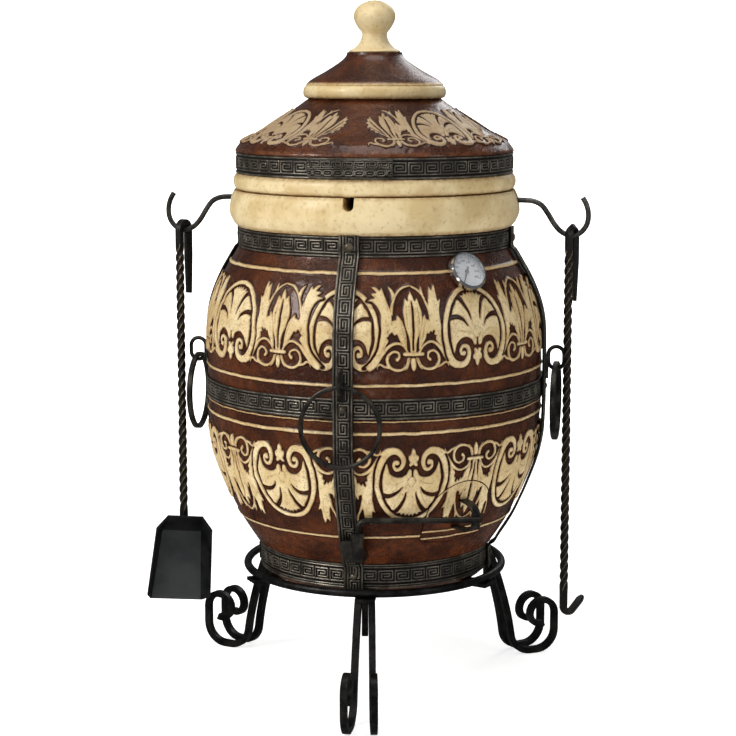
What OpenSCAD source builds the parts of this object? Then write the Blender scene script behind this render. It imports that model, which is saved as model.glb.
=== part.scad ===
/* [Vessel] */
// Largest outer radius of the clay barrel
belly_r = 258; // [255:1:261]
// Thickness of the clay wall at the belly
wall_t = 44; // [38:1:50]
// Radius of the mouth
mouth_r = 156; // [150:1:158]
// Width of each notch in the rim
notch_w = 16; // [12:1:20]
// Depth of each notch in the rim
notch_d = 19; // [16:1:22]

/* [Forged bands and strips] */
// Thickness of the bands round the clay
band_t = 3.5; // [3:0.5:3.5]
// Width of the upright strips
strip_w = 30; // [24:2:34]
// Thickness of the upright strips
strip_t = 4; // [3:0.5:4]
// Outer diameter of the ring handles
ring_d = 121; // [100:1:124]
// Length of the clasp plate on the lid band, as an angle
clasp_deg = 34; // [20:2:50]

/* [Ash door] */
// Half of the door plug's width at the clay surface
door_hw = 57; // [50:1:60]
// How deep the plug sits in the wall
door_depth = 28; // [22:1:30]
// Taper of the plug's sides, in degrees
door_taper = 25; // [24:1:30]
// Gap between plug and pocket
door_gap = 1.2; // [0.8:0.1:2]

/* [Thermometer] */
// Outer diameter of the thermometer case
therm_d = 60; // [50:2:64]

/* [Hangers and tools] */
// Diameter of the hanger rod
rod_d = 8; // [7:0.5:8]
// Side of the tools' square bar
tool_bar = 10; // [8:1:10]
// Width of the scoop's pan
pan_w = 104; // [90:2:110]

/* [Stand] */
// Centreline radius of the stand's ring
stand_r = 200; // [197:1:203]
// Diameter of the stand ring's bar
stand_d = 12; // [10:1:14]
// Side of the legs' square bar
leg_bar = 10; // [8:1:12]
// Angle between each leg bar and its leg's centre plane
leg_splay = 6; // [4:1:8]

/* [Hidden] */
$fn = 96;

// Heights of the main levels above the floor
base_z = 179;
rim_z = 771;
lid_z = 771.4;
lid_top_z = 908.6;
cap_z = 909;
door_az = 43;
door_z = 304;
door_r = 226;
door_tilt = 20;
therm_az = 46;
therm_z = 660;
therm_r = 223.5;
therm_tilt = 30.5;
strip_az = [0, 90, 180, 270];
leg_az = [6, 126, 246];
strip_gap = 0.4;
eye_z = 506;          // lower arc centre of each eyelet is 5 above its foot
ring_pivot_z = 507;
tool_turn = 20;       // the tools' hooks lie a little turned on their hangers
hang_r = 304;
hang_z = 703.5;
pivot_x = 18;
pivot_y = -240;

// A smooth curve through points, n pieces to each gap
function cr(a, b, c, d, t) = 0.5 * (2 * b + (c - a) * t + (2 * a - 5 * b + 4 * c - d) * t * t + (3 * b - a - 3 * c + d) * t * t * t);
function smooth(p, n) = concat([for (i = [0 : len(p) - 2]) for (k = [0 : n - 1])
    cr(p[max(i - 1, 0)], p[i], p[i + 1], p[min(i + 2, len(p) - 1)], k / n)], [p[len(p) - 1]]);
// Points of a path with the direction at each
function aimed(p) = [for (i = [0 : len(p) - 1]) let (a = p[max(i - 1, 0)], b = p[min(i + 1, len(p) - 1)])
    [p[i][0], p[i][1], atan2(b[1] - a[1], b[0] - a[0])]];
function arc(cx, cz, r, a0, a1, n) = [for (i = [0 : n]) let (a = a0 + (a1 - a0) * i / n)
    [cx + r * cos(a), cz + r * sin(a), a + (a1 > a0 ? 90 : -90)]];
function bez(a, b, c, n) = aimed([for (i = [0 : n]) let (t = i / n) (1 - t) * (1 - t) * a + 2 * t * (1 - t) * b + t * t * c]);

// The barrel's outline, as radius and height
low_pts = [[183, 226], [194, 243], [210, 269], [222, 294], [233, 320], [247, 359], [belly_r - 3, 397], [belly_r - 0.5, 435], [belly_r, 456]];
high_pts = [[belly_r, 520], [belly_r - 0.5, 549], [belly_r - 2, 574], [251, 599], [242, 624], [230, 649], [216, 672], [209, 684]];
barrel = concat(smooth(low_pts, 2), smooth(high_pts, 2));
barrel_zr = [for (p = barrel) [p[1], p[0]]];
function vr(z) = lookup(z, barrel_zr);
neck_r = 206;
foot_r = 175.5;
cav_r = belly_r - wall_t;
inner_pts = [[mouth_r + 6, 690], [178, 665], [200, 625], [cav_r - 2, 560], [cav_r, 470], [cav_r - 6, 400], [190, 340], [172, 296], [160, 276]];

// Outward along an azimuth measured from the front towards the right
module rad(az) rotate([0, 0, az - 90]) children();

module sweep(path, prof) {
    n = len(prof);
    m = len(path);
    pts = [for (p = path) for (s = prof) [p[0] - s[0] * sin(p[2]), s[1], p[1] + s[0] * cos(p[2])]];
    polyhedron(points = pts, faces = concat(
        [[for (k = [n - 1 : -1 : 0]) k]],
        [for (i = [0 : m - 2]) for (k = [0 : n - 1]) [i * n + k, i * n + (k + 1) % n, (i + 1) * n + (k + 1) % n, (i + 1) * n + k]],
        [[for (k = [0 : n - 1]) (m - 1) * n + k]]), convexity = 6);
}
function round_prof(r, n) = [for (k = [0 : n - 1]) [r * cos(360 * k / n), r * sin(360 * k / n)]];
function square_prof(w, h) = [[w / 2, -h / 2], [w / 2, h / 2], [-w / 2, h / 2], [-w / 2, -h / 2]];

// ---------------------------------------------------------------- vessel
module door_shape(s) polygon([for (p = concat([for (a = [0 : 15 : 180]) [cos(a), sin(a)]],
    [[-1, -0.78], [-0.89, -0.89], [0.89, -0.89], [1, -0.78]])) p * s]);
module at_door() rad(door_az) translate([door_r, 0, door_z]) rotate([0, 90 + door_tilt, 0]) rotate([0, 0, 90]) children();
module door_wedge(gap, back) {
    low = door_hw - (door_depth + back) * tan(door_taper) + gap;
    high = door_hw + 34 * tan(door_taper) + gap;
    at_door() translate([0, 0, -door_depth - back]) linear_extrude(height = 34 + door_depth + back, scale = high / low) door_shape(low);
}
module at_therm() rad(therm_az) translate([therm_r, 0, therm_z]) rotate([0, 90 - therm_tilt, 0]) children();

// The fired clay body. It is one closed form, and it is held as four courses stacked face to face:
// the seams lie under the belly band, under the neck band and on the raised line above the foot.
module vessel_form()
    difference() {
        rotate_extrude() polygon(concat(
            [[0, 212], [130, 212], [134, base_z], [170, base_z], [foot_r, 185], [foot_r, 225.6]],
            barrel,
            [[neck_r, 684.6], [neck_r, 715.6]], smooth([[210, 716.2], [216.7, 723], [221.9, 735], [222.5, 744], [220, 760], [215, rim_z]], 3), [
             [mouth_r + 4, rim_z], [mouth_r, 767], [mouth_r, 700]],
            inner_pts, [[154, 272], [0, 272]]));
        for (az = strip_az) rad(az) translate([mouth_r - 12, 0, rim_z - notch_d]) rotate([90, 0, 90]) linear_extrude(height = 90)
            polygon(concat([[notch_w / 2, 40], [-notch_w / 2, 40]],
                [for (a = [180 : 20 : 360]) [notch_w / 2 * cos(a), notch_w / 2 * (1 + sin(a))]]));
        door_wedge(door_gap, 1);
        rad(door_az) translate([120, 0, 312]) rotate([90, 0, 90]) linear_extrude(height = 90) door_shape(28);
        at_therm() translate([0, 0, -90]) cylinder(h = 110, r = 6);
    }
module course(z0, z1) color("#5a3421") intersection() {
    vessel_form();
    translate([-300, -300, z0]) cube([600, 600, z1 - z0]);
}
module clay_floor() course(base_z - 10, 272);
module clay_lower_wall() course(272, 472.5);
module clay_upper_wall() course(472.5, 700);
module clay_collar() course(700, rim_z + 10);

// ---------------------------------------------------------------- bands, strips, rivets
module band(r, z, h) {
    difference() {
        rotate_extrude() translate([r, z]) square([band_t, h]);
        for (az = strip_az) rad(az) translate([r - 20, 0, z + h / 2]) rotate([0, 90, 0]) cylinder(h = 60, r = 3, $fn = 32);
    }
}
module neck_band() color("#3a332c") band(neck_r, 685, 30);
module belly_band() color("#3a332c") band(belly_r, 457.5, 30);
module base_band() color("#3a332c") band(foot_r, 186, 38);

strip_off = band_t + strip_gap;
strip_low = [[foot_r + strip_off, 184], [foot_r + strip_off, 218], [188, 226]];
strip_mid = concat(strip_low, [for (z = [236 : 12.5 : 661]) [vr(z) + strip_off + 0.4, z]]);
strip_in = concat(strip_mid, [[219.5, 674], [214.4, 682], [neck_r + strip_off, 687], [neck_r + strip_off, 716]]);
strip_out = [for (p = strip_in) [p[0] + strip_t, p[1]]];
module strip(az) color("#3a332c") rad(az) difference() {
    rotate([90, 0, 0]) linear_extrude(height = strip_w, center = true)
        polygon(concat(strip_in, [for (i = [len(strip_out) - 1 : -1 : 0]) strip_out[i]]));
    for (z = [205, 472.5, 700]) translate([150, 0, z]) rotate([0, 90, 0]) cylinder(h = 140, r = 3, $fn = 32);
}
module strip_front() strip(0);
module strip_right() strip(90);
module strip_back() strip(180);
module strip_left() strip(270);

function strip_face(r) = r + strip_off + strip_t;
module rivet(r, z, head) translate([r, 0, z]) rotate([0, 90, 0]) {
    rotate_extrude($fn = 32) polygon([[0, 0], [3, 0], [3, strip_off + strip_t + (r > 230 ? 0.4 : 0)],
        [head, strip_off + strip_t + (r > 230 ? 0.4 : 0)], [head * 0.94, strip_off + strip_t + 1.4], [head * 0.7, strip_off + strip_t + 2.6],
        [head * 0.35, strip_off + strip_t + 3.3], [0, strip_off + strip_t + 3.5]]);
}
module rivets() color("#2e2924") for (az = strip_az) rad(az) {
    rivet(neck_r, 700, 6.5);
    rivet(belly_r, 472.5, 5);
    rivet(foot_r, 205, 5);
}

// ---------------------------------------------------------------- eyelets and ring handles
eye_x = belly_r + 24.5;
eye_face = belly_r + strip_off + 0.4 + strip_t;
module eyelet(az) color("#34302b") rad(az) {
    translate([eye_x, 0, 521]) rotate([90, 0, 0]) rotate_extrude(angle = 180, $fn = 48) translate([12, 0]) circle(r = 3, $fn = 24);
    translate([eye_x, 0, 511]) rotate([90, 0, 0]) rotate([0, 0, 180]) rotate_extrude(angle = 180, $fn = 48) translate([12, 0]) circle(r = 3, $fn = 24);
    for (s = [-1, 1]) translate([eye_x + s * 12, 0, 511]) cylinder(h = 10, r = 3, $fn = 24);
    translate([eye_face, -4, 484]) cube([4.4, 8, 34]);
}
module eyelet_front() eyelet(0);
module eyelet_right() eyelet(90);
module eyelet_back() eyelet(180);
module eyelet_left() eyelet(270);

module ring(az) color("#2c2a28") rad(az) translate([eye_x, 0, ring_pivot_z - ring_d / 2 + 3]) rotate([0, 90, 0])
    rotate_extrude($fn = 96) translate([ring_d / 2 - 3, 0]) polygon([[3, -3.2], [3, 3.2], [1.2, 4.5], [-1.2, 4.5], [-3, 3.2], [-3, -3.2], [-1.2, -4.5], [1.2, -4.5]]);
module ring_front() ring(0);
module ring_right() ring(90);
module ring_back() ring(180);
module ring_left() ring(270);

// ---------------------------------------------------------------- lid and cap
lid_out = concat([[138, 757], [138, lid_z]], smooth([[208, lid_z], [213, 774], [216, 781], [215.5, 790], [211, 796.6]], 3), [[209, 796.8], [209, 828.2]],
    smooth([[212.4, 828.6], [212, 832], [208, 838], [201.6, 845], [189, 851.5], [175.6, 858], [156.5, 870], [138, 882], [120.5, 894], [104, 906]], 2), [[101, lid_top_z]]);
lid_in = [[70, lid_top_z], [70, 872], [112, 815], [126, 784], [126, 757]];
module lid_shell() color("#5e3826") rotate_extrude() polygon(concat(lid_out, lid_in));
module lid_band() color("#3a332c") rotate_extrude() translate([209, 797]) square([band_t, 31]);
module lid_clasp() color("#2f2a25") rotate([0, 0, -90 - clasp_deg / 2]) rotate_extrude(angle = clasp_deg) translate([209 + band_t, 799.5]) square([3, 26]);
module cap() color("#5e3826") rotate_extrude() polygon(concat([[0, 940], [20, 940], [50, 915], [50, 893], [66, 893], [66, cap_z]],
    smooth([[103, cap_z], [107.5, 911.5], [109, 918], [107.5, 925], [104, 928.5]], 3),
    smooth([[104.5, 930], [98, 936], [88, 942], [77, 948], [67, 954], [57.8, 960], [49.4, 966], [44, 972], [42.5, 975], [42, 978]], 2), [[10, 978], [10, 962], [0, 962]]));
module cap_knob() color("#e8d3a6") rotate_extrude($fn = 64) polygon(concat([[0, 962], [10, 962], [10, 978], [39, 978], [39.5, 979.5], [37, 981.5]],
    smooth([[31, 984], [25, 990], [20.5, 998], [19, 1006], [24, 1013], [28.5, 1020], [31.2, 1027], [31.8, 1033], [30, 1040], [25.5, 1046], [19, 1051]], 2), [[9, 1055], [0, 1056]]));

// ---------------------------------------------------------------- ash door
module barrel_solid(extra) rotate_extrude() polygon(concat([[0, 226]], [for (p = smooth(low_pts, 2)) [p[0] + extra, p[1]]], [[0, 456]]));
module door_plug() color("#5a3421") intersection() {
    barrel_solid(0);
    door_wedge(0, 0);
}
arm_r = 4.5;
arm_z = 305;
arm_end = [279 * sin(door_az), -279 * cos(door_az)];
arm_len = norm([arm_end[0] - pivot_x, arm_end[1] - pivot_y]);
arm_dir = atan2(arm_end[1] - pivot_y, arm_end[0] - pivot_x);
module door_arm() color("#35322e") translate([pivot_x, pivot_y, 0]) {
    translate([0, 0, 241]) cylinder(h = arm_z - 12 - 241, r = 4.4, $fn = 48);
    rotate([0, 0, arm_dir]) sweep(concat([[0, arm_z - 13, 90]], arc(12, arm_z - 12, 12, 180, 90, 8), [[arm_len, arm_z, 0], [arm_len + 3, arm_z, 0]]), round_prof(arm_r, 16));
}
bow_path = concat([[205, 284, 0]], arc(263, 294, 10, 270, 360, 6), arc(263, 317, 10, 0, 90, 6), [[205, 327, 180]]);
module door_bow() color("#35322e") rad(door_az) sweep(bow_path, square_prof(4, 13));
module door_bracket() color("#2f2b27") difference() {
    union() {
        translate([pivot_x - 7.5, pivot_y - 7.5, 245]) cube([15, 15, 42]);
        difference() {
            translate([0, pivot_y + 7.5, 0]) rotate([90, 0, 0]) mirror([0, 0, 1]) linear_extrude(height = 45)
                polygon([[-11.5, 262], [-11.5, 268], [-6, 272], [14, 272], [27.5, 246], [27.5, 243], [-4, 243]]);
            rad(0) rotate([90, 0, 0]) linear_extrude(height = 80, center = true) polygon(concat([[100, 184]], strip_out, [[100, 716]]));
        }
    }
    translate([pivot_x, pivot_y, 238]) cylinder(h = 60, r = 4.45, $fn = 48);
}

// ---------------------------------------------------------------- thermometer
tr = therm_d / 2;
module thermometer_case() color("#c9ccce") at_therm() difference() {
    rotate_extrude($fn = 64) polygon([[4, 1], [tr - 1.5, 1], [tr, 2.5], [tr, 10], [tr - 2, 12.5], [tr - 4, 12.5], [tr - 4, 10.2], [tr - 2.2, 10.2], [tr - 2.2, 8.4], [tr - 3, 8.4], [tr - 3, 3], [4, 3]]);
}
module thermometer_bush() color("#8d8f91") at_therm() rotate_extrude($fn = 48) polygon([[4, -14], [6, -14], [6, -1], [9, -1], [9, 1], [4, 1]]);
module thermometer_stem() color("#9a9c9e") at_therm() {
    translate([0, 0, -75]) cylinder(h = 78, r = 4, $fn = 32);
    translate([0, 0, 3]) cylinder(h = 4.2, r = 1, $fn = 32);
}
module thermometer_dial() color("#eef0ef") at_therm() rotate_extrude($fn = 64) polygon([[1, 3], [tr - 3, 3], [tr - 3, 4], [1, 4]]);
module thermometer_needle() color("#22242c") at_therm() rotate([0, 0, -35]) difference() {
    union() {
        translate([0, 0, 5.2]) cylinder(h = 1.2, r = 3.2, $fn = 32);
        translate([0, 0, 5.3]) linear_extrude(height = 0.8) polygon([[-9, -1.2], [-9, 1.2], [0, 1.6], [22, 0.3], [22, -0.3], [0, -1.6]]);
    }
    translate([0, 0, 4]) cylinder(h = 4, r = 1.05, $fn = 32);
}
module thermometer_glass() color("#dfe8ee", 0.4) at_therm() translate([0, 0, 8.4]) cylinder(h = 1.8, r = tr - 2.2, $fn = 64);

// ---------------------------------------------------------------- hangers and tools
hang_pts = smooth([[mouth_r - 6.2, 722], [mouth_r - 6.2, 742], [mouth_r - 4.8, 750], [mouth_r, 756], [mouth_r + 16, 756.4], [200, 756.4], [228, 756.2], [244, 755], [257, 749], [267, 736],
    [277, 720], [289, 708], [hang_r, hang_z], [317, 708.5], [326, 721], [328, 736], [325, 750], [319, 761]], 3);
module hanger(az) color("#4a4a4c") rad(az) sweep(aimed(hang_pts), round_prof(rod_d / 2, 10));
module hanger_right() hanger(90);
module hanger_left() hanger(270);

hook_r = rod_d / 2 + 2.5 + tool_bar / 2;
hook_z = hang_z + 0.1;
module at_tool(side) translate([side * hang_r, 0, 0]) rotate([0, 0, -tool_turn]) children();
module tool_top(low) {
    translate([0, 0, hook_z]) rotate([90, 0, 90]) rotate_extrude(angle = 180, $fn = 48) translate([hook_r, 0]) square(tool_bar, center = true);
    translate([-tool_bar / 2, -hook_r - tool_bar / 2, low]) cube([tool_bar, tool_bar, hook_z - low]);
    translate([-tool_bar / 2, hook_r - tool_bar / 2, hook_z - 101]) rotate([90, 0, 90]) linear_extrude(height = tool_bar)
        polygon([[3, 2], [5, 0], [tool_bar - 1, 0], [tool_bar, 3], [tool_bar, 101], [0, 101], [2, 55]]);
}
module scoop_handle() color("#3b3834") at_tool(-1) tool_top(236);
pan_turn = 24;        // the pan's floor looks a little to the right
pan_lean = -5.5;
pan_h = 115;
pan_deep = 26;
pan_x = pan_w / 2 - 11;
module tip(p) translate(p) cube(2, center = true);
module pan_wall(a, b, c, d) hull() { tip(a); tip(b); tip(c); tip(d); }
module scoop_pan() color("#55595b") at_tool(-1) translate([0, -hook_r, 0]) rotate([0, 0, tool_turn + pan_turn]) translate([0, 12, 243]) rotate([0, -pan_lean, 0]) {
    translate([0, 1, -22]) rotate([90, 0, 0]) linear_extrude(height = 2) polygon([[-pan_x, -pan_h], [pan_x, -pan_h], [pan_x - 9, 0], [-pan_x + 9, 0]]);
    pan_wall([-pan_x, 0, -22 - pan_h + 1], [-pan_x + 9, 0, -23], [-pan_x - 9, -pan_deep, -22 - pan_h + 13], [-pan_x - 3, -pan_deep, -16]);
    pan_wall([pan_x, 0, -22 - pan_h + 1], [pan_x - 9, 0, -23], [pan_x + 9, -pan_deep, -22 - pan_h + 13], [pan_x + 3, -pan_deep, -16]);
    pan_wall([-pan_x + 9, 0, -22], [pan_x - 9, 0, -22], [-pan_x + 14, -pan_deep, 5], [pan_x - 14, -pan_deep, 5]);
    pan_wall([-pan_x + 9, 0, -22], [-pan_x + 14, -pan_deep, 5], [-pan_x - 3, -pan_deep, -16], [-pan_x + 9, 0, -23]);
    pan_wall([pan_x - 9, 0, -22], [pan_x - 14, -pan_deep, 5], [pan_x + 3, -pan_deep, -16], [pan_x - 9, 0, -23]);
}
module poker() color("#3b3834") at_tool(1) {
    tool_top(134);
    translate([0, -hook_r, 0]) rotate([0, 0, tool_turn]) sweep(concat([[0, 134.5, 270], [0, 128, 270]], arc(7, 125.5, 7, 180, 327, 9), [[29.2, 145.6, 57]]), square_prof(tool_bar - 1, tool_bar + 1));
}

// ---------------------------------------------------------------- fire grate
module fire_grate() color("#2b2a29")
    difference() {
        translate([0, 0, 336]) cylinder(h = 10, r = 147);
        for (i = [-4 : 4]) let (h = sqrt(128 * 128 - i * i * 26 * 26)) translate([i * 26 - 6, -h, 330]) cube([12, h - 7, 24]);
        for (i = [-4 : 4]) let (h = sqrt(128 * 128 - i * i * 26 * 26)) translate([i * 26 - 6, 7, 330]) cube([12, h - 7, 24]);
    }
module grate_feet() color("#2b2a29") for (a = [0, 120, 240]) rotate([0, 0, a]) translate([0, -137, 272.3]) cylinder(h = 63.7, r = 8, $fn = 32);

// ---------------------------------------------------------------- stand
module stand_ring() color("#232323") translate([0, 0, base_z + stand_d / 2]) rotate_extrude() translate([stand_r, 0]) circle(d = stand_d, $fn = 32);
module stand_cross() color("#232323") for (az = leg_az) rad(az) translate([-212, -15, base_z - 5]) cube([424, 30, 5]);

foot_c = 33 + leg_bar / 2;
function leg_start() = [281 - 6 + 33 * cos(188), foot_c + 33 * sin(188)];
leg_path = concat(
    [for (p = bez([204, base_z - 5], [leg_start()[0] - 8.3, leg_start()[1] + 59.4], leg_start(), 10)) if (p[1] > leg_start()[1] + 1) (p[1] > base_z - 6 ? [p[0], p[1], 270] : p)],
    arc(281 - 6, foot_c, 33, 188, 270, 8),
    arc(281 + 6, foot_c, 33, 270, 360, 9),
    arc(298, 66, 22, 0, 180, 12),
    arc(293.5, 66, 17.5, 180, 292, 8));
module leg_bar_solid(az, side) color("#232323") rad(az) translate([204, side * 10, 0]) rotate([0, 0, side * leg_splay]) translate([-204, 0, 0])
    sweep(leg_path, square_prof(leg_bar, leg_bar));
module leg_front_a() leg_bar_solid(6, -1);
module leg_front_b() leg_bar_solid(6, 1);
module leg_right_a() leg_bar_solid(126, -1);
module leg_right_b() leg_bar_solid(126, 1);
module leg_left_a() leg_bar_solid(246, -1);
module leg_left_b() leg_bar_solid(246, 1);
module leg_tongues() color("#232323") for (az = leg_az) rad(az) translate([199, -4.5, 122]) cube([9, 9, base_z - 5 - 122]);

clay_floor();
clay_lower_wall();
clay_upper_wall();
clay_collar();
neck_band();
belly_band();
base_band();
strip_front();
strip_right();
strip_back();
strip_left();
rivets();
eyelet_front();
eyelet_right();
eyelet_back();
eyelet_left();
ring_front();
ring_right();
ring_back();
ring_left();
lid_shell();
lid_band();
lid_clasp();
cap();
cap_knob();
door_bracket();
door_arm();
door_bow();
door_plug();
thermometer_case();
thermometer_bush();
thermometer_stem();
thermometer_dial();
thermometer_needle();
thermometer_glass();
hanger_right();
hanger_left();
scoop_handle();
scoop_pan();
poker();
fire_grate();
grate_feet();
stand_ring();
stand_cross();
leg_front_a();
leg_front_b();
leg_right_a();
leg_right_b();
leg_left_a();
leg_left_b();
leg_tongues();
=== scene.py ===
import bpy, math
import numpy as np
from mathutils import Vector, Matrix


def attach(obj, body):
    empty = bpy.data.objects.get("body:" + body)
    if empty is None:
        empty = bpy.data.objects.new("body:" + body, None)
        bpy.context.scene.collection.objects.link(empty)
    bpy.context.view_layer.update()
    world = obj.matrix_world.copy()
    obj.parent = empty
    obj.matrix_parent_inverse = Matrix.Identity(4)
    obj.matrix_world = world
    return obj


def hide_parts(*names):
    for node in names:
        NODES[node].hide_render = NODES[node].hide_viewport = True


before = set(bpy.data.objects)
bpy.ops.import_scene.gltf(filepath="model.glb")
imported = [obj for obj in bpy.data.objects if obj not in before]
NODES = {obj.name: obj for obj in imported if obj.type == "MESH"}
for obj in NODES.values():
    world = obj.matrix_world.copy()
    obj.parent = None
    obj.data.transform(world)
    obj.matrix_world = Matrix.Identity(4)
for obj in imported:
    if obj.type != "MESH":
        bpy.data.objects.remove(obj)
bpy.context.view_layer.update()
SCENE = bpy.context.scene

# ------------------------------------------------------------------ camera, light, floor
cam_data = bpy.data.cameras.new("camera")
cam = bpy.data.objects.new("camera", cam_data)
SCENE.collection.objects.link(cam)
cam_data.lens = 95.4
cam_data.sensor_width = 36.0
cam_data.shift_x = -0.009
cam_data.clip_end = 60
cam.location = (3.003 * math.sin(math.radians(10)), -3.003 * math.cos(math.radians(10)), 0.965)
cam.rotation_euler = (math.radians(81.05), 0, math.radians(10))
SCENE.camera = cam
SCENE.view_settings.view_transform = "Standard"
SCENE.view_settings.look = "Medium High Contrast"

world = bpy.data.worlds.new("studio")
SCENE.world = world
world.use_nodes = True
bg = world.node_tree.nodes["Background"]
bg.inputs[0].default_value = (1.0, 1.0, 1.0, 1)
bg.inputs[1].default_value = 0.13


def area(name, loc, target, size, power, size_y=None, colour=(1, 1, 1)):
    d = bpy.data.lights.new(name, "AREA")
    d.energy = power
    d.color = colour
    d.size = size
    if size_y:
        d.shape = "RECTANGLE"
        d.size_y = size_y
    o = bpy.data.objects.new(name, d)
    SCENE.collection.objects.link(o)
    o.location = loc
    o.rotation_euler = (Vector(target) - Vector(loc)).to_track_quat("-Z", "Y").to_euler()
    return o


area("key_left", (-2.3, -2.3, 2.3), (0, 0, 0.6), 1.0, 66, 1.6, (1.0, 0.98, 0.95))
area("fill_right", (2.9, -1.6, 1.5), (0, 0, 0.55), 0.8, 12, 1.8, (0.97, 0.98, 1.0))
area("top", (0.1, -0.5, 3.1), (0, 0, 0.5), 1.6, 26, 1.6)
area("rim_back", (0.8, 2.6, 2.2), (0, 0, 0.6), 1.4, 15, 1.4)
area("low_front", (0.4, -3.0, 0.5), (0, 0, 0.4), 1.2, 5, 0.6)

# ------------------------------------------------------------------ small node-tree helper
class Mat:
    def __init__(self, name):
        self.m = bpy.data.materials.new(name)
        self.m.use_nodes = True
        self.t = self.m.node_tree
        self.t.nodes.clear()
        self.out = self.t.nodes.new("ShaderNodeOutputMaterial")
        self.b = self.t.nodes.new("ShaderNodeBsdfPrincipled")
        self.t.links.new(self.b.outputs["BSDF"], self.out.inputs["Surface"])
        self.co = self.t.nodes.new("ShaderNodeTexCoord")

    def set(self, **kw):
        names = {"base": "Base Color", "rough": "Roughness", "metal": "Metallic", "coat": "Coat Weight",
                 "coat_rough": "Coat Roughness", "spec": "Specular IOR Level", "normal": "Normal",
                 "ior": "IOR", "trans": "Transmission Weight", "alpha": "Alpha", "coat_normal": "Coat Normal"}
        for k, v in kw.items():
            s = self.b.inputs[names[k]]
            if isinstance(v, bpy.types.NodeSocket):
                self.t.links.new(v, s)
            elif k == "base":
                s.default_value = (*v, 1)
            else:
                s.default_value = v
        return self

    def put(self, sock, v):
        if isinstance(v, bpy.types.NodeSocket):
            self.t.links.new(v, sock)
        elif isinstance(v, (tuple, list)) and len(v) == 3 and len(sock.default_value) == 4:
            sock.default_value = (*v, 1)
        else:
            sock.default_value = v

    def at(self, scale=(1, 1, 1), loc=(0, 0, 0)):
        n = self.t.nodes.new("ShaderNodeMapping")
        n.inputs["Scale"].default_value = scale
        n.inputs["Location"].default_value = loc
        self.t.links.new(self.co.outputs["Object"], n.inputs["Vector"])
        return n.outputs[0]

    def noise(self, mm, detail=3.0, rough=0.55, vec=None, dist=0.0):
        n = self.t.nodes.new("ShaderNodeTexNoise")
        n.inputs["Scale"].default_value = 1000.0 / mm
        n.inputs["Detail"].default_value = detail
        n.inputs["Roughness"].default_value = rough
        n.inputs["Distortion"].default_value = dist
        self.t.links.new(vec or self.co.outputs["Object"], n.inputs["Vector"])
        return n.outputs["Fac"]

    def cells(self, mm, vec=None, kind="F1"):
        n = self.t.nodes.new("ShaderNodeTexVoronoi")
        n.feature = kind
        n.inputs["Scale"].default_value = 1000.0 / mm
        self.t.links.new(vec or self.co.outputs["Object"], n.inputs["Vector"])
        return n.outputs["Distance"]

    def z(self):
        n = self.t.nodes.new("ShaderNodeSeparateXYZ")
        self.t.links.new(self.co.outputs["Object"], n.inputs[0])
        return n.outputs["Z"]

    def attr(self, name):
        n = self.t.nodes.new("ShaderNodeAttribute")
        n.attribute_name = name
        return n.outputs["Fac"]

    def math(self, op, a, b=0.0, c=None, clamp=False):
        n = self.t.nodes.new("ShaderNodeMath")
        n.operation = op
        n.use_clamp = clamp
        self.put(n.inputs[0], a)
        self.put(n.inputs[1], b)
        if c is not None:
            self.put(n.inputs[2], c)
        return n.outputs[0]

    def band(self, v, a, b, lo=0.0, hi=1.0, smooth=True):
        n = self.t.nodes.new("ShaderNodeMapRange")
        n.interpolation_type = "SMOOTHSTEP" if smooth else "LINEAR"
        self.put(n.inputs["Value"], v)
        n.inputs["From Min"].default_value = a
        n.inputs["From Max"].default_value = b
        n.inputs["To Min"].default_value = lo
        n.inputs["To Max"].default_value = hi
        return n.outputs[0]

    def mix(self, f, a, b, mode="MIX"):
        n = self.t.nodes.new("ShaderNodeMix")
        n.data_type = "RGBA"
        n.blend_type = mode
        self.put(n.inputs[0], f)
        self.put(n.inputs[6], a)
        self.put(n.inputs[7], b)
        return n.outputs[2]

    def bump(self, h, mm, strength=1.0, normal=None):
        n = self.t.nodes.new("ShaderNodeBump")
        n.inputs["Distance"].default_value = mm / 1000.0
        n.inputs["Strength"].default_value = strength
        self.t.links.new(h, n.inputs["Height"])
        if normal is not None:
            self.t.links.new(normal, n.inputs["Normal"])
        return n.outputs[0]

# ------------------------------------------------------------------ materials
def glaze(m, tint=0.0):
    """Dark brown salt-rough glaze: returns colour, roughness, normal sockets."""
    big = m.noise(70, 3, 0.6)
    mid = m.noise(11, 4, 0.65)
    fine = m.noise(1.7, 3, 0.6)
    pits = m.cells(3.1)
    c = m.mix(m.band(big, 0.38, 0.64), (0.058, 0.0155, 0.0048), (0.128, 0.0375, 0.0100))
    c = m.mix(m.band(mid, 0.42, 0.70, 0, 0.55), c, (0.024, 0.0085, 0.0055))
    c = m.mix(m.band(fine, 0.55, 0.78, 0, 0.4), c, (0.21, 0.082, 0.034))
    rough = m.band(mid, 0.3, 0.7, 0.20, 0.40)
    h = m.math("ADD", m.math("MULTIPLY", mid, 0.9), m.math("ADD", m.math("MULTIPLY", fine, 0.5), m.math("MULTIPLY", pits, 0.34)))
    n = m.bump(h, 1.5, 0.95)
    return c, rough, n


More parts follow.
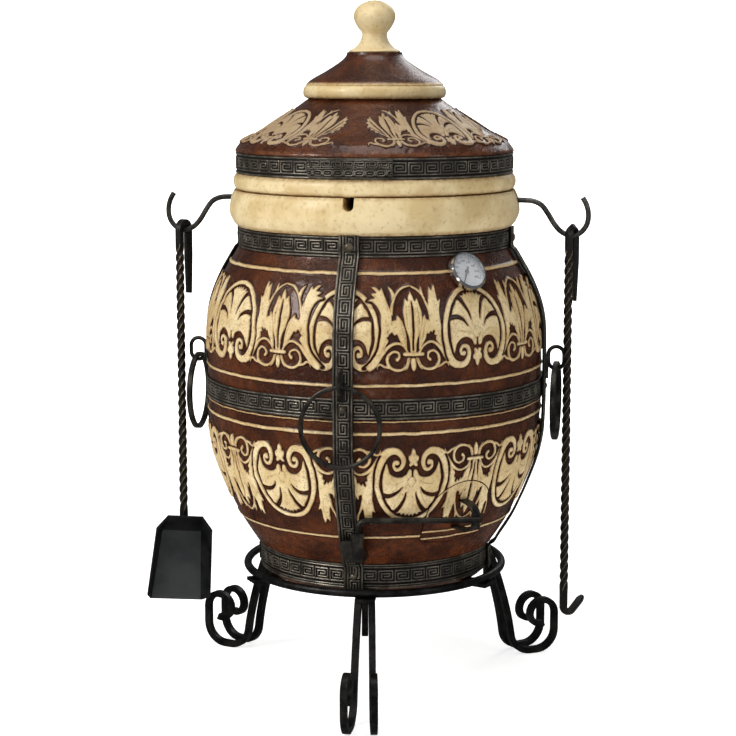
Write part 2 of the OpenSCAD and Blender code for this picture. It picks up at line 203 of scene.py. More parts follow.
def cream(m, light=1.0):
    big = m.noise(55, 3, 0.55)
    mid = m.noise(6.5, 4, 0.6)
    fine = m.noise(0.9, 2, 0.6)
    c = m.mix(m.band(big, 0.35, 0.66), (0.67 * light, 0.515 * light, 0.27 * light), (0.82 * light, 0.68 * light, 0.42 * light))
    c = m.mix(m.band(mid, 0.50, 0.78, 0, 0.6), c, (0.46, 0.295, 0.13))
    pit = m.band(m.cells(2.4), 0.05, 0.17, 1, 0)
    pit = m.math("MULTIPLY", pit, m.band(m.noise(14, 2), 0.52, 0.66))
    c = m.mix(m.math("MULTIPLY", pit, 0.45), c, (0.17, 0.085, 0.035))
    h = m.math("SUBTRACT", m.math("ADD", m.math("MULTIPLY", mid, 0.5), m.math("MULTIPLY", fine, 0.3)), m.math("MULTIPLY", pit, 0.6))
    return c, h


def mat_glaze(name="brown_glaze"):
    m = Mat(name)
    c, r, n = glaze(m)
    return m.set(base=c, rough=r, normal=n, coat=0.45, coat_rough=0.14, spec=0.35).m


def mat_cream(name="cream_slip"):
    m = Mat(name)
    c, h = cream(m)
    return m.set(base=c, rough=m.band(m.noise(20, 2), 0.3, 0.7, 0.42, 0.6), normal=m.bump(h, 0.5, 0.6), coat=0.12, coat_rough=0.35).m


def mat_relief(name="relief_clay", edge=0.4, wash=0.0, dirt=0.5):
    """Cream on the raised ornament, brown glaze on the ground and walls; "relief" is the height above the edge in mm."""
    m = Mat(name)
    gc, gr, gn = glaze(m)
    cc, ch = cream(m)
    v = m.attr("relief")
    wob = m.math("MULTIPLY", m.math("SUBTRACT", m.noise(5.5, 3, 0.6), 0.5), 0.9)
    f = m.band(m.math("ADD", v, wob), edge - 0.16, edge + 0.2)
    worn = m.band(m.noise(26, 4, 0.65), 0.50, 0.68, 0, dirt)
    spots = m.band(m.noise(2.6, 3, 0.7), 0.57, 0.68, 0, 0.8)
    cc = m.mix(m.math("MULTIPLY", worn, 0.55), cc, (0.50, 0.315, 0.16))
    cc = m.mix(spots, cc, (0.20, 0.095, 0.045))
    streak = m.band(m.noise(9, 5, 0.75, m.at((1.0, 1.0, 0.35))), 0.52, 0.66, 0, 0.38)
    cc = m.mix(streak, cc, (0.40, 0.25, 0.12))
    # painted shade: the cream is darkened towards the edges of the raised ornament, standing in for shading on its
    # rounded shoulders and walls
    painted_edge_shade = m.band(m.math("ADD", v, m.math("MULTIPLY", wob, 1.2)), edge + 0.1, edge + 2.0, 0.8, 0.0)
    cc = m.mix(painted_edge_shade, cc, (0.40, 0.235, 0.105))
    if wash:
        cc = m.mix(wash, cc, (0.36, 0.255, 0.165))
    # the ground is darkened in a band around the foot of the raised ornament: partly glaze pooled in the crease, partly
    # painted shade cast by the relief
    gc = m.mix(m.band(v, -2.2, 0.2, 0.0, 0.75), gc, (0.018, 0.007, 0.005))
    if wash:
        zz = m.z()
        lip = m.math("MULTIPLY", m.band(zz, 0.8285, 0.8300), m.band(zz, 0.8335, 0.8365, 1, 0))
        gc = m.mix(m.math("MULTIPLY", lip, m.band(m.noise(12, 3), 0.35, 0.65, 0.1, 0.7)), gc, (0.20, 0.075, 0.028))
    base = m.mix(f, gc, cc)
    rough = m.math("ADD", m.math("MULTIPLY", f, 0.2), gr)
    bump_c = m.bump(ch, 0.55, 0.7)
    mixn = m.t.nodes.new("ShaderNodeMix")
    mixn.data_type = "VECTOR"
    m.put(mixn.inputs[0], f)
    m.t.links.new(gn, mixn.inputs[4])
    m.t.links.new(bump_c, mixn.inputs[5])
    return m.set(base=base, rough=rough, normal=mixn.outputs[1], coat=m.math("MULTIPLY_ADD", f, -0.25, 0.4), coat_rough=0.17, spec=0.35).m


def mat_zone(name, cuts, inner_z=None):
    """Clay with cream and brown zones by height: cuts is [(z0, z1, soft)], cream from z0 up to z1 with a soft top edge,
    brown glaze elsewhere.
    """
    m = Mat(name)
    gc, gr, gn = glaze(m)
    cc, ch = cream(m)
    z = m.math("ADD", m.z(), m.math("MULTIPLY", m.math("SUBTRACT", m.noise(9, 2), 0.5), 0.0012))
    f = stain = None
    for z0, z1, soft in cuts:
        g = m.math("MULTIPLY", m.band(z, z0 - 0.0003, z0 + 0.0003), m.band(z, z1 - soft, z1 + soft, 1, 0))
        k = m.math("SUBTRACT", 1.0, m.math("MULTIPLY", m.band(z, z0, z0 + 0.0075), m.band(z, z1 - 0.008, z1, 1, 0)))
        f = g if f is None else m.math("MAXIMUM", f, g)
        stain = k if stain is None else m.math("MINIMUM", stain, k)
    cc = m.mix(m.math("MULTIPLY", stain, m.band(m.noise(7, 4, 0.7), 0.3, 0.66, 0.12, 0.85)), cc, (0.34, 0.19, 0.075))
    base = m.mix(f, gc, cc)
    rough = m.math("ADD", m.math("MULTIPLY", f, 0.18), gr)
    mixn = m.t.nodes.new("ShaderNodeMix")
    mixn.data_type = "VECTOR"
    m.put(mixn.inputs[0], f)
    m.t.links.new(gn, mixn.inputs[4])
    m.t.links.new(m.bump(ch, 0.5, 0.6), mixn.inputs[5])
    return m.set(base=base, rough=rough, normal=mixn.outputs[1], coat=m.math("MULTIPLY_ADD", f, -0.25, 0.4), coat_rough=0.17, spec=0.35).m


def mat_raw(name="raw_clay"):
    m = Mat(name)
    a = m.noise(40, 4, 0.6)
    b = m.noise(3.5, 4, 0.65)
    c = m.mix(m.band(a, 0.35, 0.65), (0.36, 0.20, 0.12), (0.24, 0.125, 0.08))
    c = m.mix(m.band(b, 0.5, 0.75, 0, 0.5), c, (0.10, 0.06, 0.045))
    return m.set(base=c, rough=0.85, normal=m.bump(b, 1.2, 0.7)).m


def mat_iron(name="black_iron", c0=(0.008, 0.008, 0.0085), c1=(0.032, 0.030, 0.029), rough=(0.34, 0.58), hammer=0.9):
    m = Mat(name)
    a = m.noise(24, 3, 0.6)
    b = m.noise(3.2, 4, 0.6)
    ham = m.cells(8.5, kind="SMOOTH_F1") if hammer else b
    c = m.mix(m.band(a, 0.35, 0.68), c0, c1)
    c = m.mix(m.band(b, 0.60, 0.78, 0, 0.5), c, (0.11, 0.085, 0.065))
    h = m.math("ADD", m.math("MULTIPLY", ham, hammer), m.math("MULTIPLY", b, 0.35))
    return m.set(base=c, metal=0.55, rough=m.band(b, 0.3, 0.7, *rough), normal=m.bump(h, 0.8, 0.55), coat=0.08, coat_rough=0.25, spec=0.35).m


def mat_meander(name="patina_iron", lo=0.25, hi=0.8, light=(0.36, 0.325, 0.27), dark=(0.007, 0.006, 0.005)):
    """Pressed bar: dark patina in the hollows, rubbed bright on what stands up; "relief" is height in mm."""
    m = Mat(name)
    v = m.attr("relief")
    a = m.noise(30, 3, 0.6)
    b = m.noise(2.2, 4, 0.65)
    vv = m.math("ADD", v, m.math("MULTIPLY", m.math("SUBTRACT", b, 0.5), 0.5))
    f = m.band(vv, lo, hi)
    c_dark = m.mix(m.band(a, 0.4, 0.66), dark, (0.018, 0.015, 0.012))
    c_light = m.mix(m.band(a, 0.36, 0.62), light, (light[0] * 0.42, light[1] * 0.42, light[2] * 0.42))
    c = m.mix(m.math("MULTIPLY", f, m.band(b, 0.25, 0.6, 0.45, 1.0)), c_dark, c_light)
    return m.set(base=c, metal=m.math("MULTIPLY", f, 0.75), rough=m.band(b, 0.3, 0.7, 0.30, 0.5), normal=m.bump(b, 0.45, 0.6), spec=0.28).m


def mat_plain(name, c0, c1, metal, rough, mm=18, bump=0.25, coat=0.0):
    m = Mat(name)
    a = m.noise(mm, 4, 0.6)
    b = m.noise(1.3, 3, 0.6)
    c = m.mix(m.band(a, 0.35, 0.65), c0, c1)
    return m.set(base=c, metal=metal, rough=m.band(a, 0.3, 0.7, rough * 0.82, rough * 1.18), normal=m.bump(b, 0.3, bump), coat=coat, coat_rough=0.2).m


M_GLAZE = mat_glaze()
M_CREAM = mat_cream()
M_RELIEF = mat_relief()
M_LID_RELIEF = mat_relief("lid_relief_clay", wash=0.72, dirt=0.9)
M_RAW = mat_raw()
M_IRON = mat_iron()
M_RING = mat_iron("ring_iron", (0.022, 0.020, 0.018), (0.075, 0.068, 0.058), (0.28, 0.48), 0.4)
M_HANG = mat_iron("hanger_iron", (0.05, 0.048, 0.045), (0.12, 0.115, 0.105), (0.3, 0.5), 0.35)
M_PATINA = mat_meander()
M_CLASP = mat_meander("clasp_iron", 0.2, 0.7, (0.34, 0.31, 0.26), (0.010, 0.009, 0.008))
M_BLACK = mat_iron("tool_black", (0.008, 0.008, 0.009), (0.026, 0.025, 0.025), (0.3, 0.55), 0.5)
M_SHEET = mat_plain("pan_sheet", (0.072, 0.078, 0.080), (0.115, 0.122, 0.124), 0.5, 0.36, 120, 0.3, 0.1)
M_PANBLK = mat_plain("pan_black", (0.010, 0.010, 0.011), (0.03, 0.03, 0.031), 0.4, 0.42, 30, 0.3, 0.1)
M_CHROME = mat_plain("chrome", (0.70, 0.71, 0.72), (0.80, 0.80, 0.81), 1.0, 0.14, 22, 0.05)
M_DIAL = mat_plain("dial_enamel", (0.72, 0.75, 0.79), (0.84, 0.86, 0.88), 0.0, 0.35, 30, 0.05, 0.4)
M_INK = mat_plain("dial_ink", (0.03, 0.035, 0.05), (0.06, 0.065, 0.08), 0.0, 0.4, 10, 0.05)
M_RIVET = mat_iron("rivet_iron", (0.10, 0.085, 0.062), (0.20, 0.17, 0.125), (0.25, 0.45), 0.3)
M_GRATE = mat_iron("grate_iron", (0.02, 0.018, 0.016), (0.075, 0.06, 0.05), (0.6, 0.85), 0.3)


def mat_glass():
    m = Mat("clear_glass")
    a = m.noise(60, 2)
    m.set(base=m.mix(a, (0.95, 0.97, 0.98), (1, 1, 1)), rough=0.03, trans=0.0, ior=1.45, alpha=0.16, coat=0.5, coat_rough=0.02)
    return m.m


M_GLASS = mat_glass()


def mat_tool():
    """Black bar whose raised twist is rubbed to brass."""
    m = Mat("tool_twist")
    v = m.attr("relief")
    b = m.noise(2.2, 3, 0.65)
    a = m.noise(30, 3)
    f = m.band(m.math("ADD", v, m.math("MULTIPLY", m.math("SUBTRACT", b, 0.5), 0.9)), 1.05, 1.6)
    f = m.math("MULTIPLY", f, m.band(a, 0.3, 0.55, 0.5, 1.0))
    c = m.mix(f, (0.012, 0.010, 0.009), (0.26, 0.205, 0.125))
    return m.set(base=c, metal=m.math("MULTIPLY", f, 0.8), rough=m.band(b, 0.3, 0.7, 0.3, 0.5), normal=m.bump(b, 0.5, 0.5)).m


M_TOOL = mat_tool()


def assign(obj, *mats):
    obj.data.materials.clear()
    for x in mats:
        obj.data.materials.append(x)


# smooth shading for carried-over CAD nodes: drop the stored normals, weld, mark edges by angle
def smooth_group():
    g = bpy.data.node_groups.new("cad_smooth", "GeometryNodeTree")
    g.interface.new_socket("Geometry", in_out="INPUT", socket_type="NodeSocketGeometry")
    g.interface.new_socket("Geometry", in_out="OUTPUT", socket_type="NodeSocketGeometry")
    i = g.nodes.new("NodeGroupInput")
    o = g.nodes.new("NodeGroupOutput")
    rem = g.nodes.new("GeometryNodeRemoveAttribute")
    rem.inputs["Name"].default_value = "custom_normal"
    weld = g.nodes.new("GeometryNodeMergeByDistance")
    weld.inputs["Distance"].default_value = 2e-5
    sm = g.nodes.new("GeometryNodeSetShadeSmooth")
    sm.domain = "FACE"
    ang = g.nodes.new("GeometryNodeInputMeshEdgeAngle")
    cmp = g.nodes.new("FunctionNodeCompare")
    cmp.data_type = "FLOAT"
    cmp.operation = "GREATER_THAN"
    cmp.inputs["B"].default_value = math.radians(28)
    sharp = g.nodes.new("GeometryNodeSetShadeSmooth")
    sharp.domain = "EDGE"
    sharp.inputs["Shade Smooth"].default_value = False
    L = g.links.new
    L(i.outputs[0], rem.inputs["Geometry"])
    L(rem.outputs[0], weld.inputs["Geometry"])
    L(weld.outputs[0], sm.inputs["Geometry"])
    L(sm.outputs[0], sharp.inputs["Geometry"])
    L(ang.outputs["Unsigned Angle"], cmp.inputs["A"])
    L(cmp.outputs["Result"], sharp.inputs["Selection"])
    L(sharp.outputs[0], o.inputs[0])
    return g


SMOOTH = smooth_group()


def smooth_cad(name):
    md = NODES[name].modifiers.new("smooth", "NODES")
    md.node_group = SMOOTH

# ------------------------------------------------------------------ curves and mesh helpers (millimetres)
def crom(p, n):
    p = np.asarray(p, float)
    out = []
    for i in range(len(p) - 1):
        a, b, c, d = p[max(i - 1, 0)], p[i], p[i + 1], p[min(i + 2, len(p) - 1)]
        for k in range(n):
            t = k / n
            out.append(0.5 * (2 * b + (c - a) * t + (2 * a - 5 * b + 4 * c - d) * t * t + (3 * b - a - 3 * c + d) * t ** 3))
    out.append(p[-1])
    return np.array(out)


def seg_field(X, Y, P, W):
    """max over segments of (half width - distance)."""
    best = np.full(X.shape, -99.0)
    for i in range(len(P) - 1):
        (ax, ay), (bx, by) = P[i], P[i + 1]
        dx, dy = bx - ax, by - ay
        L = dx * dx + dy * dy + 1e-9
        t = np.clip(((X - ax) * dx + (Y - ay) * dy) / L, 0, 1)
        d = np.hypot(X - ax - t * dx, Y - ay - t * dy)
        best = np.maximum(best, W[i] + (W[i + 1] - W[i]) * t - d)
    return best


def stroke(X, Y, pts, n=5):
    q = crom(pts, n)
    return seg_field(X, Y, q[:, :2], np.maximum(q[:, 2], 0.05))


def poly(X, Y, pts, n=4, sym=False):
    """signed distance into a closed outline; sharp=True points repeat. sym: outline given for x >= 0, mirrored."""
    q = crom(pts, n) if n > 1 else np.asarray(pts, float)
    if sym:
        m = q[::-1].copy()
        m[:, 0] *= -1
        q = np.vstack([q, m])
    q = np.vstack([q, q[:1]])
    d = -seg_field(X, Y, q, np.zeros(len(q)))
    ins = np.zeros(X.shape, bool)
    for i in range(len(q) - 1):
        (ax, ay), (bx, by) = q[i], q[i + 1]
        if ay == by:
            continue
        c = ((ay > Y) != (by > Y)) & (X < (bx - ax) * (Y - ay) / (by - ay) + ax)
        ins ^= c
    return np.where(ins, d, -d)


def palmette(X, Y, k=0.955):
    """Oval palmette, 118 mm high, axis at x = 0."""
    X = np.abs(X) / k
    ring = stroke(X, Y, [(-8, 114.3, 3.5), (8, 113.8, 3.6), (24, 109.3, 3.9), (39, 98, 4.1), (49.5, 81, 4.3), (55, 60, 4.4), (54.5, 40, 4.6),
                         (49.5, 23, 5.1), (42, 11, 5.5), (32.5, 6.0, 5.6), (23, 7.6, 5.1), (16.8, 15, 4.3), (15.4, 24.5, 3.8), (19.2, 32.3, 3.5),
                         (25.8, 33.8, 3.2), (30, 28.8, 2.9), (28.6, 22.6, 2.9), (24, 21.4, 2.9)])
    bulb = 4.2 - np.hypot(X - 24.6, Y - 23.4)
    fill = poly(X, Y, [(0, 109.5), (3.4, 106.2), (6.5, 109), (9.5, 104.6), (14, 107), (16.5, 103.2), (22, 103.4), (27, 98.6), (31.5, 96.5), (34, 91.8),
                       (39, 86), (42.2, 79), (45.2, 72), (46.6, 60), (46.9, 47), (45, 34), (41.2, 22.5), (38.8, 29), (35.5, 37.6), (28, 44.2),
                       (18.6, 45.2), (11, 41.2), (8.2, 35.4), (4.2, 32.4), (0, 37)], 3, True)
    cut = np.maximum.reduce([
        stroke(X, Y, [(8.2, 70, .2), (10.6, 79, 1.3), (15.5, 90, 2.2), (22.5, 98.5, 2.9), (30, 104.5, 3.2)]),
        stroke(X, Y, [(15.2, 61.5, .2), (21, 69.2, 1.5), (31, 74.2, 2.4), (41, 74.6, 2.9), (50, 71, 3.0)]),
        stroke(X, Y, [(0, 44, .5), (0, 39, .9), (0, 33, 1.4)]),
    ])
    fill = np.minimum(fill, -cut)
    vein = np.maximum.reduce([
        stroke(X, Y, [(4.6, 56, .2), (6.6, 51, .7), (3.0, 44.5, .5), (0.4, 42, .2)]),
        stroke(X, Y, [(4.6, 56, .3), (2.6, 60, .6), (0, 62, .3)]),
        stroke(X, Y, [(13, 50, .2), (24, 55.5, .55), (36, 55.5, .2)]),
        stroke(X, Y, [(12, 60.5, .2), (21, 80, .5), (27.5, 90, .2)]),
    ])
    calyx = poly(X, Y, [(0, 1.2), (3.2, 5), (4.8, 10.4), (8.8, 13.4), (8.4, 19.4), (5.8, 22.6), (7.6, 27), (4.2, 29.6), (0, 26.6)], 4, True)
    return np.maximum.reduce([ring, bulb, fill, calyx]), vein


WIDE_FLANK = [(72, 5), (64, 12.5), (56, 22), (50.6, 36), (47.8, 52), (47.0, 68), (48.6, 82), (53.8, 93), (61, 99), (68, 100.4), (61.5, 103.6), (56.5, 104.5), (64, 109.4), (57.5, 111.2),
              (54.6, 112), (62.5, 119), (54, 119.6), (48.6, 114.6), (45.6, 119.4), (41.4, 111), (37.8, 102), (35.2, 95), (33.0, 90), (31.2, 82), (31.4, 72), (33, 62), (37.4, 58.6), (34.6, 52.6),
              (37.6, 50), (35.0, 44.6), (38.5, 39), (42, 32), (47.6, 22.4), (54, 11)]


def fleur(U, Y, wide=False):
    """Spear leaf with side leaves, tie and foot scrolls, with the tall leaves that stand either side; axis at u = 0."""
    U = np.abs(U)
    leaf = poly(U, Y, [(0, 113.5), (3.6, 106.5), (5.4, 99), (9.6, 103.4), (12, 96), (14.6, 86), (15.1, 76), (12.6, 64), (8.6, 52), (5.4, 40), (4.4, 27), (0, 27)], 3, True)
    leaf = np.minimum(leaf, -stroke(U, Y, [(0, 97, .3), (0, 84, 1.15), (0, 60, 1.1), (0, 36, .75), (0, 30, .4)]))
    side = poly(U, Y, [(6.6, 31), (7.8, 47), (9.2, 60), (13, 71.5), (18.6, 82), (20.4, 74.5), (25.5, 72.5), (30, 66), (33, 59), (29.6, 57.4), (27.6, 53), (25, 56.5), (22.6, 51.5), (20, 53.5),
                       (17.6, 46), (12.8, 37.4), (9.8, 30)], 2)
    band = stroke(U, Y, [(8, 26, 2), (13, 35, 2.2), (20, 40.2, 2.3), (28, 40.6, 2.5), (36, 36, 2.8), (43, 28, 3.3), (50, 18.6, 3.9), (57, 9.8, 4.4), (64, 5.4, 4.4)])
    flank = poly(U, Y, [(59.5, 8), (53, 18.5), (47.6, 31), (44.6, 45), (42.8, 60), (42, 74), (42.8, 88), (47.5, 101.5), (42.2, 98.5), (41.4, 109), (40.6, 121), (36.8, 119.4), (34.2, 113.6),
                        (31.0, 119.8), (28.6, 110), (26.6, 97), (23.6, 91), (24, 79), (24.4, 68), (27, 60), (31.4, 57), (30.2, 51.5), (33.4, 50), (32.4, 44), (37, 38.5), (41.5, 31), (47, 20.5), (53, 9)], 2)
    arch = stroke(U, Y, [(26, 82, 2.6), (23.4, 95, 2.3), (18, 106.5, 2.1), (10, 115, 2.1), (0, 119.6, 1.5)])
    tip = poly(U, Y, [(21.5, 103), (19.4, 112), (17.6, 121), (14.4, 113.6), (12.6, 110)], 3)
    scroll = stroke(U, Y, [(7, 19, 1.6), (9.8, 9.6, 2.0), (16.6, 3.8, 2.4), (25.6, 2.8, 2.6), (33.8, 6.6, 2.7), (38, 15, 2.6), (36, 24.2, 2.4), (29.4, 28.8, 2.2),
                           (22.6, 26.6, 2.2), (20.6, 20.8, 2.3), (24, 17.2, 2.8)])
    tail = stroke(U, Y, [(35, 6, 2.2), (42, 8, 2.2), (47.2, 11.6, 2.1), (51.4, 9.6, 1.7), (52.6, 4, 0.8)])
    tie = stroke(U, Y, [(0, 24.6, 3.1), (12.6, 24.6, 3.1)])
    foot = np.maximum(poly(U, Y, [(0, -1), (3.2, 3.6), (4.4, 10), (3.2, 19), (0, 20)], 3, True),
                      stroke(U, Y, [(4.6, 20, 1.2), (6.8, 13, 2.0), (9.8, 6, 1.8), (14, 1.4, .6)]))
    if wide:
        W = U / 1.27
        side = poly(W, Y, [(6.6, 31), (7.8, 47), (9.2, 60), (13, 71.5), (18.6, 80), (20.4, 73.5), (25.5, 71.5), (29, 65), (29.6, 57.4), (27.6, 53), (25, 56.5), (22.6, 51.5), (20, 53.5),
                           (17.6, 46), (12.8, 37.4), (9.8, 30)], 2)
        flank = poly(U, Y, WIDE_FLANK, 2)
        arch = stroke(U, Y, [(32, 80, 2.6), (29.4, 94, 2.4), (24, 106.5, 2.2), (14, 116, 2.2), (0, 119.8, 1.5)])
        tip = poly(U, Y, [(30.5, 99), (31.6, 109), (35.4, 119.6), (28.6, 116), (23.6, 107.5)], 3)
    f = np.maximum.reduce([leaf, side, band, flank, arch, tip, scroll, tail, tie, foot])
    vein = np.maximum.reduce([
        stroke(U, Y, [(48, 23, .1), (41.6, 40, .3), (37, 58, .1)]),
        stroke(U, Y, [(36.4, 78, .1), (36.8, 92, .4), (37.8, 106, .1)]),
        stroke(U, Y, [(12, 44, .2), (15, 56, .6), (18.4, 70, .2)]),
        stroke(U, Y, [(4.6, 20.9, .6), (13, 20.9, .6)]),
        stroke(U, Y, [(7.5, 60, .2), (9.6, 76, .8), (8, 94, .2)]),
    ])
    return f, vein


STEP = 0.5
HALF = 101.0


def frieze_field():
    xs = np.arange(0, HALF + 0.01, STEP)
    ys = np.arange(-6, 126.01, STEP)
    X, Y = np.meshgrid(xs, ys, indexing="ij")
    pf, pv = palmette(X, Y)
    ff, fv = fleur(HALF - X, Y)
    # a groove keeps the tall leaves clear of the palmette's ring
    clear = np.maximum(pf, -50) + 2.1
    ring_zone = (X > 30) & (Y > 12)
    ff = np.where(ring_zone, np.minimum(ff, -clear), ff)
    v = np.maximum(pf, ff)
    vein = np.maximum(pv, fv)
    return xs, ys, v, vein


FX, FY, FV, FVEIN = frieze_field()


def strip_cell():
    """Half a cell beside an upright strip: the leaves lean over the shoulder of a narrower palmette."""
    X, Y = np.meshgrid(FX, FY, indexing="ij")
    pf, pv = palmette(X, Y, 0.875)
    ff, fv = fleur(HALF - X, Y, True)
    over = poly(HALF - X, Y, WIDE_FLANK, 2)
    pf = np.where(X > 18, np.minimum(pf, -(over + 2.3)), pf)
    return np.maximum(pf, ff), np.minimum(np.maximum(pv, fv), np.where(X > 34, 0.1, 9))


FV2, FVEIN2 = strip_cell()


def sample(grid, x, y):
    i = np.clip(x / STEP, 0, grid.shape[0] - 1.001)
    j = np.clip((y + 6) / STEP, 0, grid.shape[1] - 1.001)
    i0, j0 = i.astype(int), j.astype(int)
    fi, fj = i - i0, j - j0
    return (grid[i0, j0] * (1 - fi) * (1 - fj) + grid[i0 + 1, j0] * fi * (1 - fj) + grid[i0, j0 + 1] * (1 - fi) * fj + grid[i0 + 1, j0 + 1] * fi * fj)


RNG = np.random.default_rng(11)


def wave_noise(n=26, lo=12.0, hi=90.0, seed=3):
    r = np.random.default_rng(seed)
    out = []
    for _ in range(n):
        wl = math.exp(r.uniform(math.log(lo), math.log(hi)))
        d = r.normal(size=3)
        d /= np.linalg.norm(d)
        out.append((d * 2 * math.pi / wl, r.uniform(0, 6.28), wl ** 0.5))
    s = sum(o[2] ** 2 for o in out) ** 0.5

    def f(P):
        v = np.zeros(P.shape[:-1])
        for k, ph, a in out:
            v += a * np.sin(P @ k + ph)
        return v / s
    return f


WN = wave_noise()
WN_FINE = wave_noise(30, 4.0, 14.0, 5)


def relief_height(v, vein, h=2.9):
    t = np.clip((v + 0.55) / 1.75, 0, 1)
    t = t * t * (3 - 2 * t)
    dome = 0.35 * np.clip(v / 5, 0, 1)
    g = np.clip((vein + 0.5) / 1.0, 0, 1)
    g = g * g * (3 - 2 * g)
    return (h + dome) * t - np.minimum(1.5, h * 0.55) * g * t


def field_at(phi_deg, y, shift):
    """The frieze's value at azimuth phi and height y (0 at the palmette's foot); shift moves the palmettes."""
    a = np.mod(phi_deg - shift + 22.5, 45.0) - 22.5
    x = np.abs(a) / 22.5 * HALF
    if shift:
        return sample(FV, x, y), sample(FVEIN, x, y)
    even = np.mod(np.round((phi_deg - a) / 45.0), 2) == 0
    return np.where(even, sample(FV2, x, y), sample(FV, x, y)), np.where(even, sample(FVEIN2, x, y), sample(FVEIN, x, y))


low_pts = [(183, 226), (194, 243), (210, 269), (222, 294), (233, 320), (247, 359), (255, 397), (257.5, 435), (258, 456)]
high_pts = [(258, 520), (257.5, 549), (256, 574), (251, 599), (242, 624), (230, 649), (216, 672), (209, 684)]
BARREL = np.vstack([crom(low_pts, 8), crom(high_pts, 8)])


def vr(z):
    return np.interp(z, BARREL[:, 1], BARREL[:, 0])


def profile_normal(prof):
    d = np.gradient(prof, axis=0)
    n = np.stack([d[:, 1], -d[:, 0]], 1)
    return n / (np.linalg.norm(n, axis=1)[:, None] + 1e-9)


def make_mesh(name, verts, faces, mats, body, attrs=None, smooth=True, mat_index=None):
    me = bpy.data.meshes.new(name)
    verts = np.asarray(verts, np.float32)
    faces = np.asarray(faces, np.int32)
    me.vertices.add(len(verts))
    me.vertices.foreach_set("co", (verts / 1000.0).astype(np.float32).ravel())
    k = faces.shape[1]
    me.loops.add(faces.size)
    me.loops.foreach_set("vertex_index", faces.ravel())
    me.polygons.add(len(faces))
    me.polygons.foreach_set("loop_start", np.arange(0, faces.size, k, dtype=np.int32))
    me.polygons.foreach_set("loop_total", np.full(len(faces), k, np.int32))
    if smooth:
        me.polygons.foreach_set("use_smooth", np.ones(len(faces), bool))
    for a, v in (attrs or {}).items():
        at = me.attributes.new(a, "FLOAT", "POINT")
        at.data.foreach_set("value", np.asarray(v, np.float32))
    me.update()
    me.validate()
    ob = bpy.data.objects.new(name, me)
    SCENE.collection.objects.link(ob)
    for x in (mats if isinstance(mats, (list, tuple)) else [mats]):
        me.materials.append(x)
    if mat_index is not None:
        me.polygons.foreach_set("material_index", np.asarray(mat_index, np.int32))
    if body:
        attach(ob, body)
    return ob


def grid_faces(n, m, closed=False):
    """n columns (outer index) by m rows."""
    i = np.arange(n if closed else n - 1)
    j = np.arange(m - 1)
    I, J = np.meshgrid(i, j, indexing="ij")
    a = I * m + J
    b = ((I + 1) % n) * m + J
    return np.stack([a, b, b + 1, a + 1], -1).reshape(-1, 4)


def compact(verts, faces, attrs):
    used = np.zeros(len(verts), bool)
    used[faces.ravel()] = True
    idx = np.cumsum(used) - 1
    return verts[used], idx[faces], {k: v[used] for k, v in attrs.items()}


def polar(phi_deg, r, z):
    a = np.radians(phi_deg - 90)
    return np.stack([r * np.cos(a), r * np.sin(a), z], -1)

# ------------------------------------------------------------------ ash door frame, used to cut the skins
DOOR_AZ, DOOR_R, DOOR_Z, DOOR_TILT, DOOR_HW, DOOR_GAP = 43.0, 226.0, 304.0, 20.0, 57.0, 1.2


def door_distance(P):
    """mm inside the plug's outline (negative outside), following its taper."""
    a = math.radians(90 - DOOR_AZ)
    x = P[..., 0] * math.cos(a) - P[..., 1] * math.sin(a) - DOOR_R
    y = P[..., 0] * math.sin(a) + P[..., 1] * math.cos(a)
    z = P[..., 2] - DOOR_Z
    b = math.radians(-(90 + DOOR_TILT))
    x2 = x * math.cos(b) + z * math.sin(b)
    z2 = -x * math.sin(b) + z * math.cos(b)
    u, w, n = y, -x2, z2          # u across, w up the face, n out of it
    s = DOOR_HW + n * math.tan(math.radians(25))
    q, t = u / s, w / s
    up = 1 - np.hypot(q, t)
    dn = np.minimum(np.minimum(1 - np.abs(q), t + 0.89), (1.78 - np.abs(q) + t) / math.sqrt(2))
    return np.where(t >= 0, up, dn) * s


def ridge(z, zc, hw):
    return hw - np.abs(z - zc)


def barrel_surface(phi, z, door=False):
    """Position and relief of the barrel's skin at azimuth phi and height z."""
    P0 = polar(phi, vr(z), z)
    wob = WN(P0)
    wob2 = WN(P0[..., ::-1] + 500.0)
    r = vr(z) + 0.35 + 0.28 * wob + 0.10 * WN_FINE(P0)
    v = np.full(phi.shape, -4.0)
    vein = np.full(phi.shape, -4.0)
    for lo, hi, shift, up in ((520, 652, 0.0, True), (292, 424, 22.5, False)):
        m = (z > lo) & (z < hi)
        if m.any():
            y = (z - 527) if up else (417 - z)
            a, b = field_at(phi[m] + 0.16 * wob[m], y[m] + 0.6 * wob2[m], shift)
            v[m] = np.maximum(v[m], a)
            vein[m] = np.maximum(vein[m], b)
    h = relief_height(v, vein)
    lines = [(664, 2.8), (506.5, 2.7), (436.5, 2.9), (454.2, 1.55)] + ([(279, 2.0), (267.5, 1.9)] if door else [(273.5, 2.2)])
    for zc, hw in lines:
        q = ridge(z, zc + 0.5 * wob, hw)
        t = np.clip((q + 0.6) / (hw + 0.4), 0, 1)
        h = np.maximum(h, 1.7 * np.sin(t * math.pi / 2) ** 1.3 * (q > -0.6))
        v = np.maximum(v, q * 0.9)
    return polar(phi, r + h, z), np.where(vein > 0.0, np.minimum(v, 0.55 - vein), v)


def rows(*spans):
    out = []
    for a, b, st in spans:
        out += list(np.arange(a, b, st))
    out.append(spans[-1][1])
    return np.array(out)


UP_ROWS = rows((487.3, 502, 2.6), (502, 511, 0.8), (511, 525, 2.6), (525, 648, 1.0), (648, 659.5, 2.4), (659.5, 668.5, 0.8), (668.5, 684.3, 2.4))
LOW_ROWS = rows((226.2, 269, 2.8), (269, 278, 0.8), (278, 296, 2.6), (296, 419, 1.0), (419, 432, 2.5), (432, 441, 0.8), (441, 451, 2.4), (451, 457.6, 0.7))


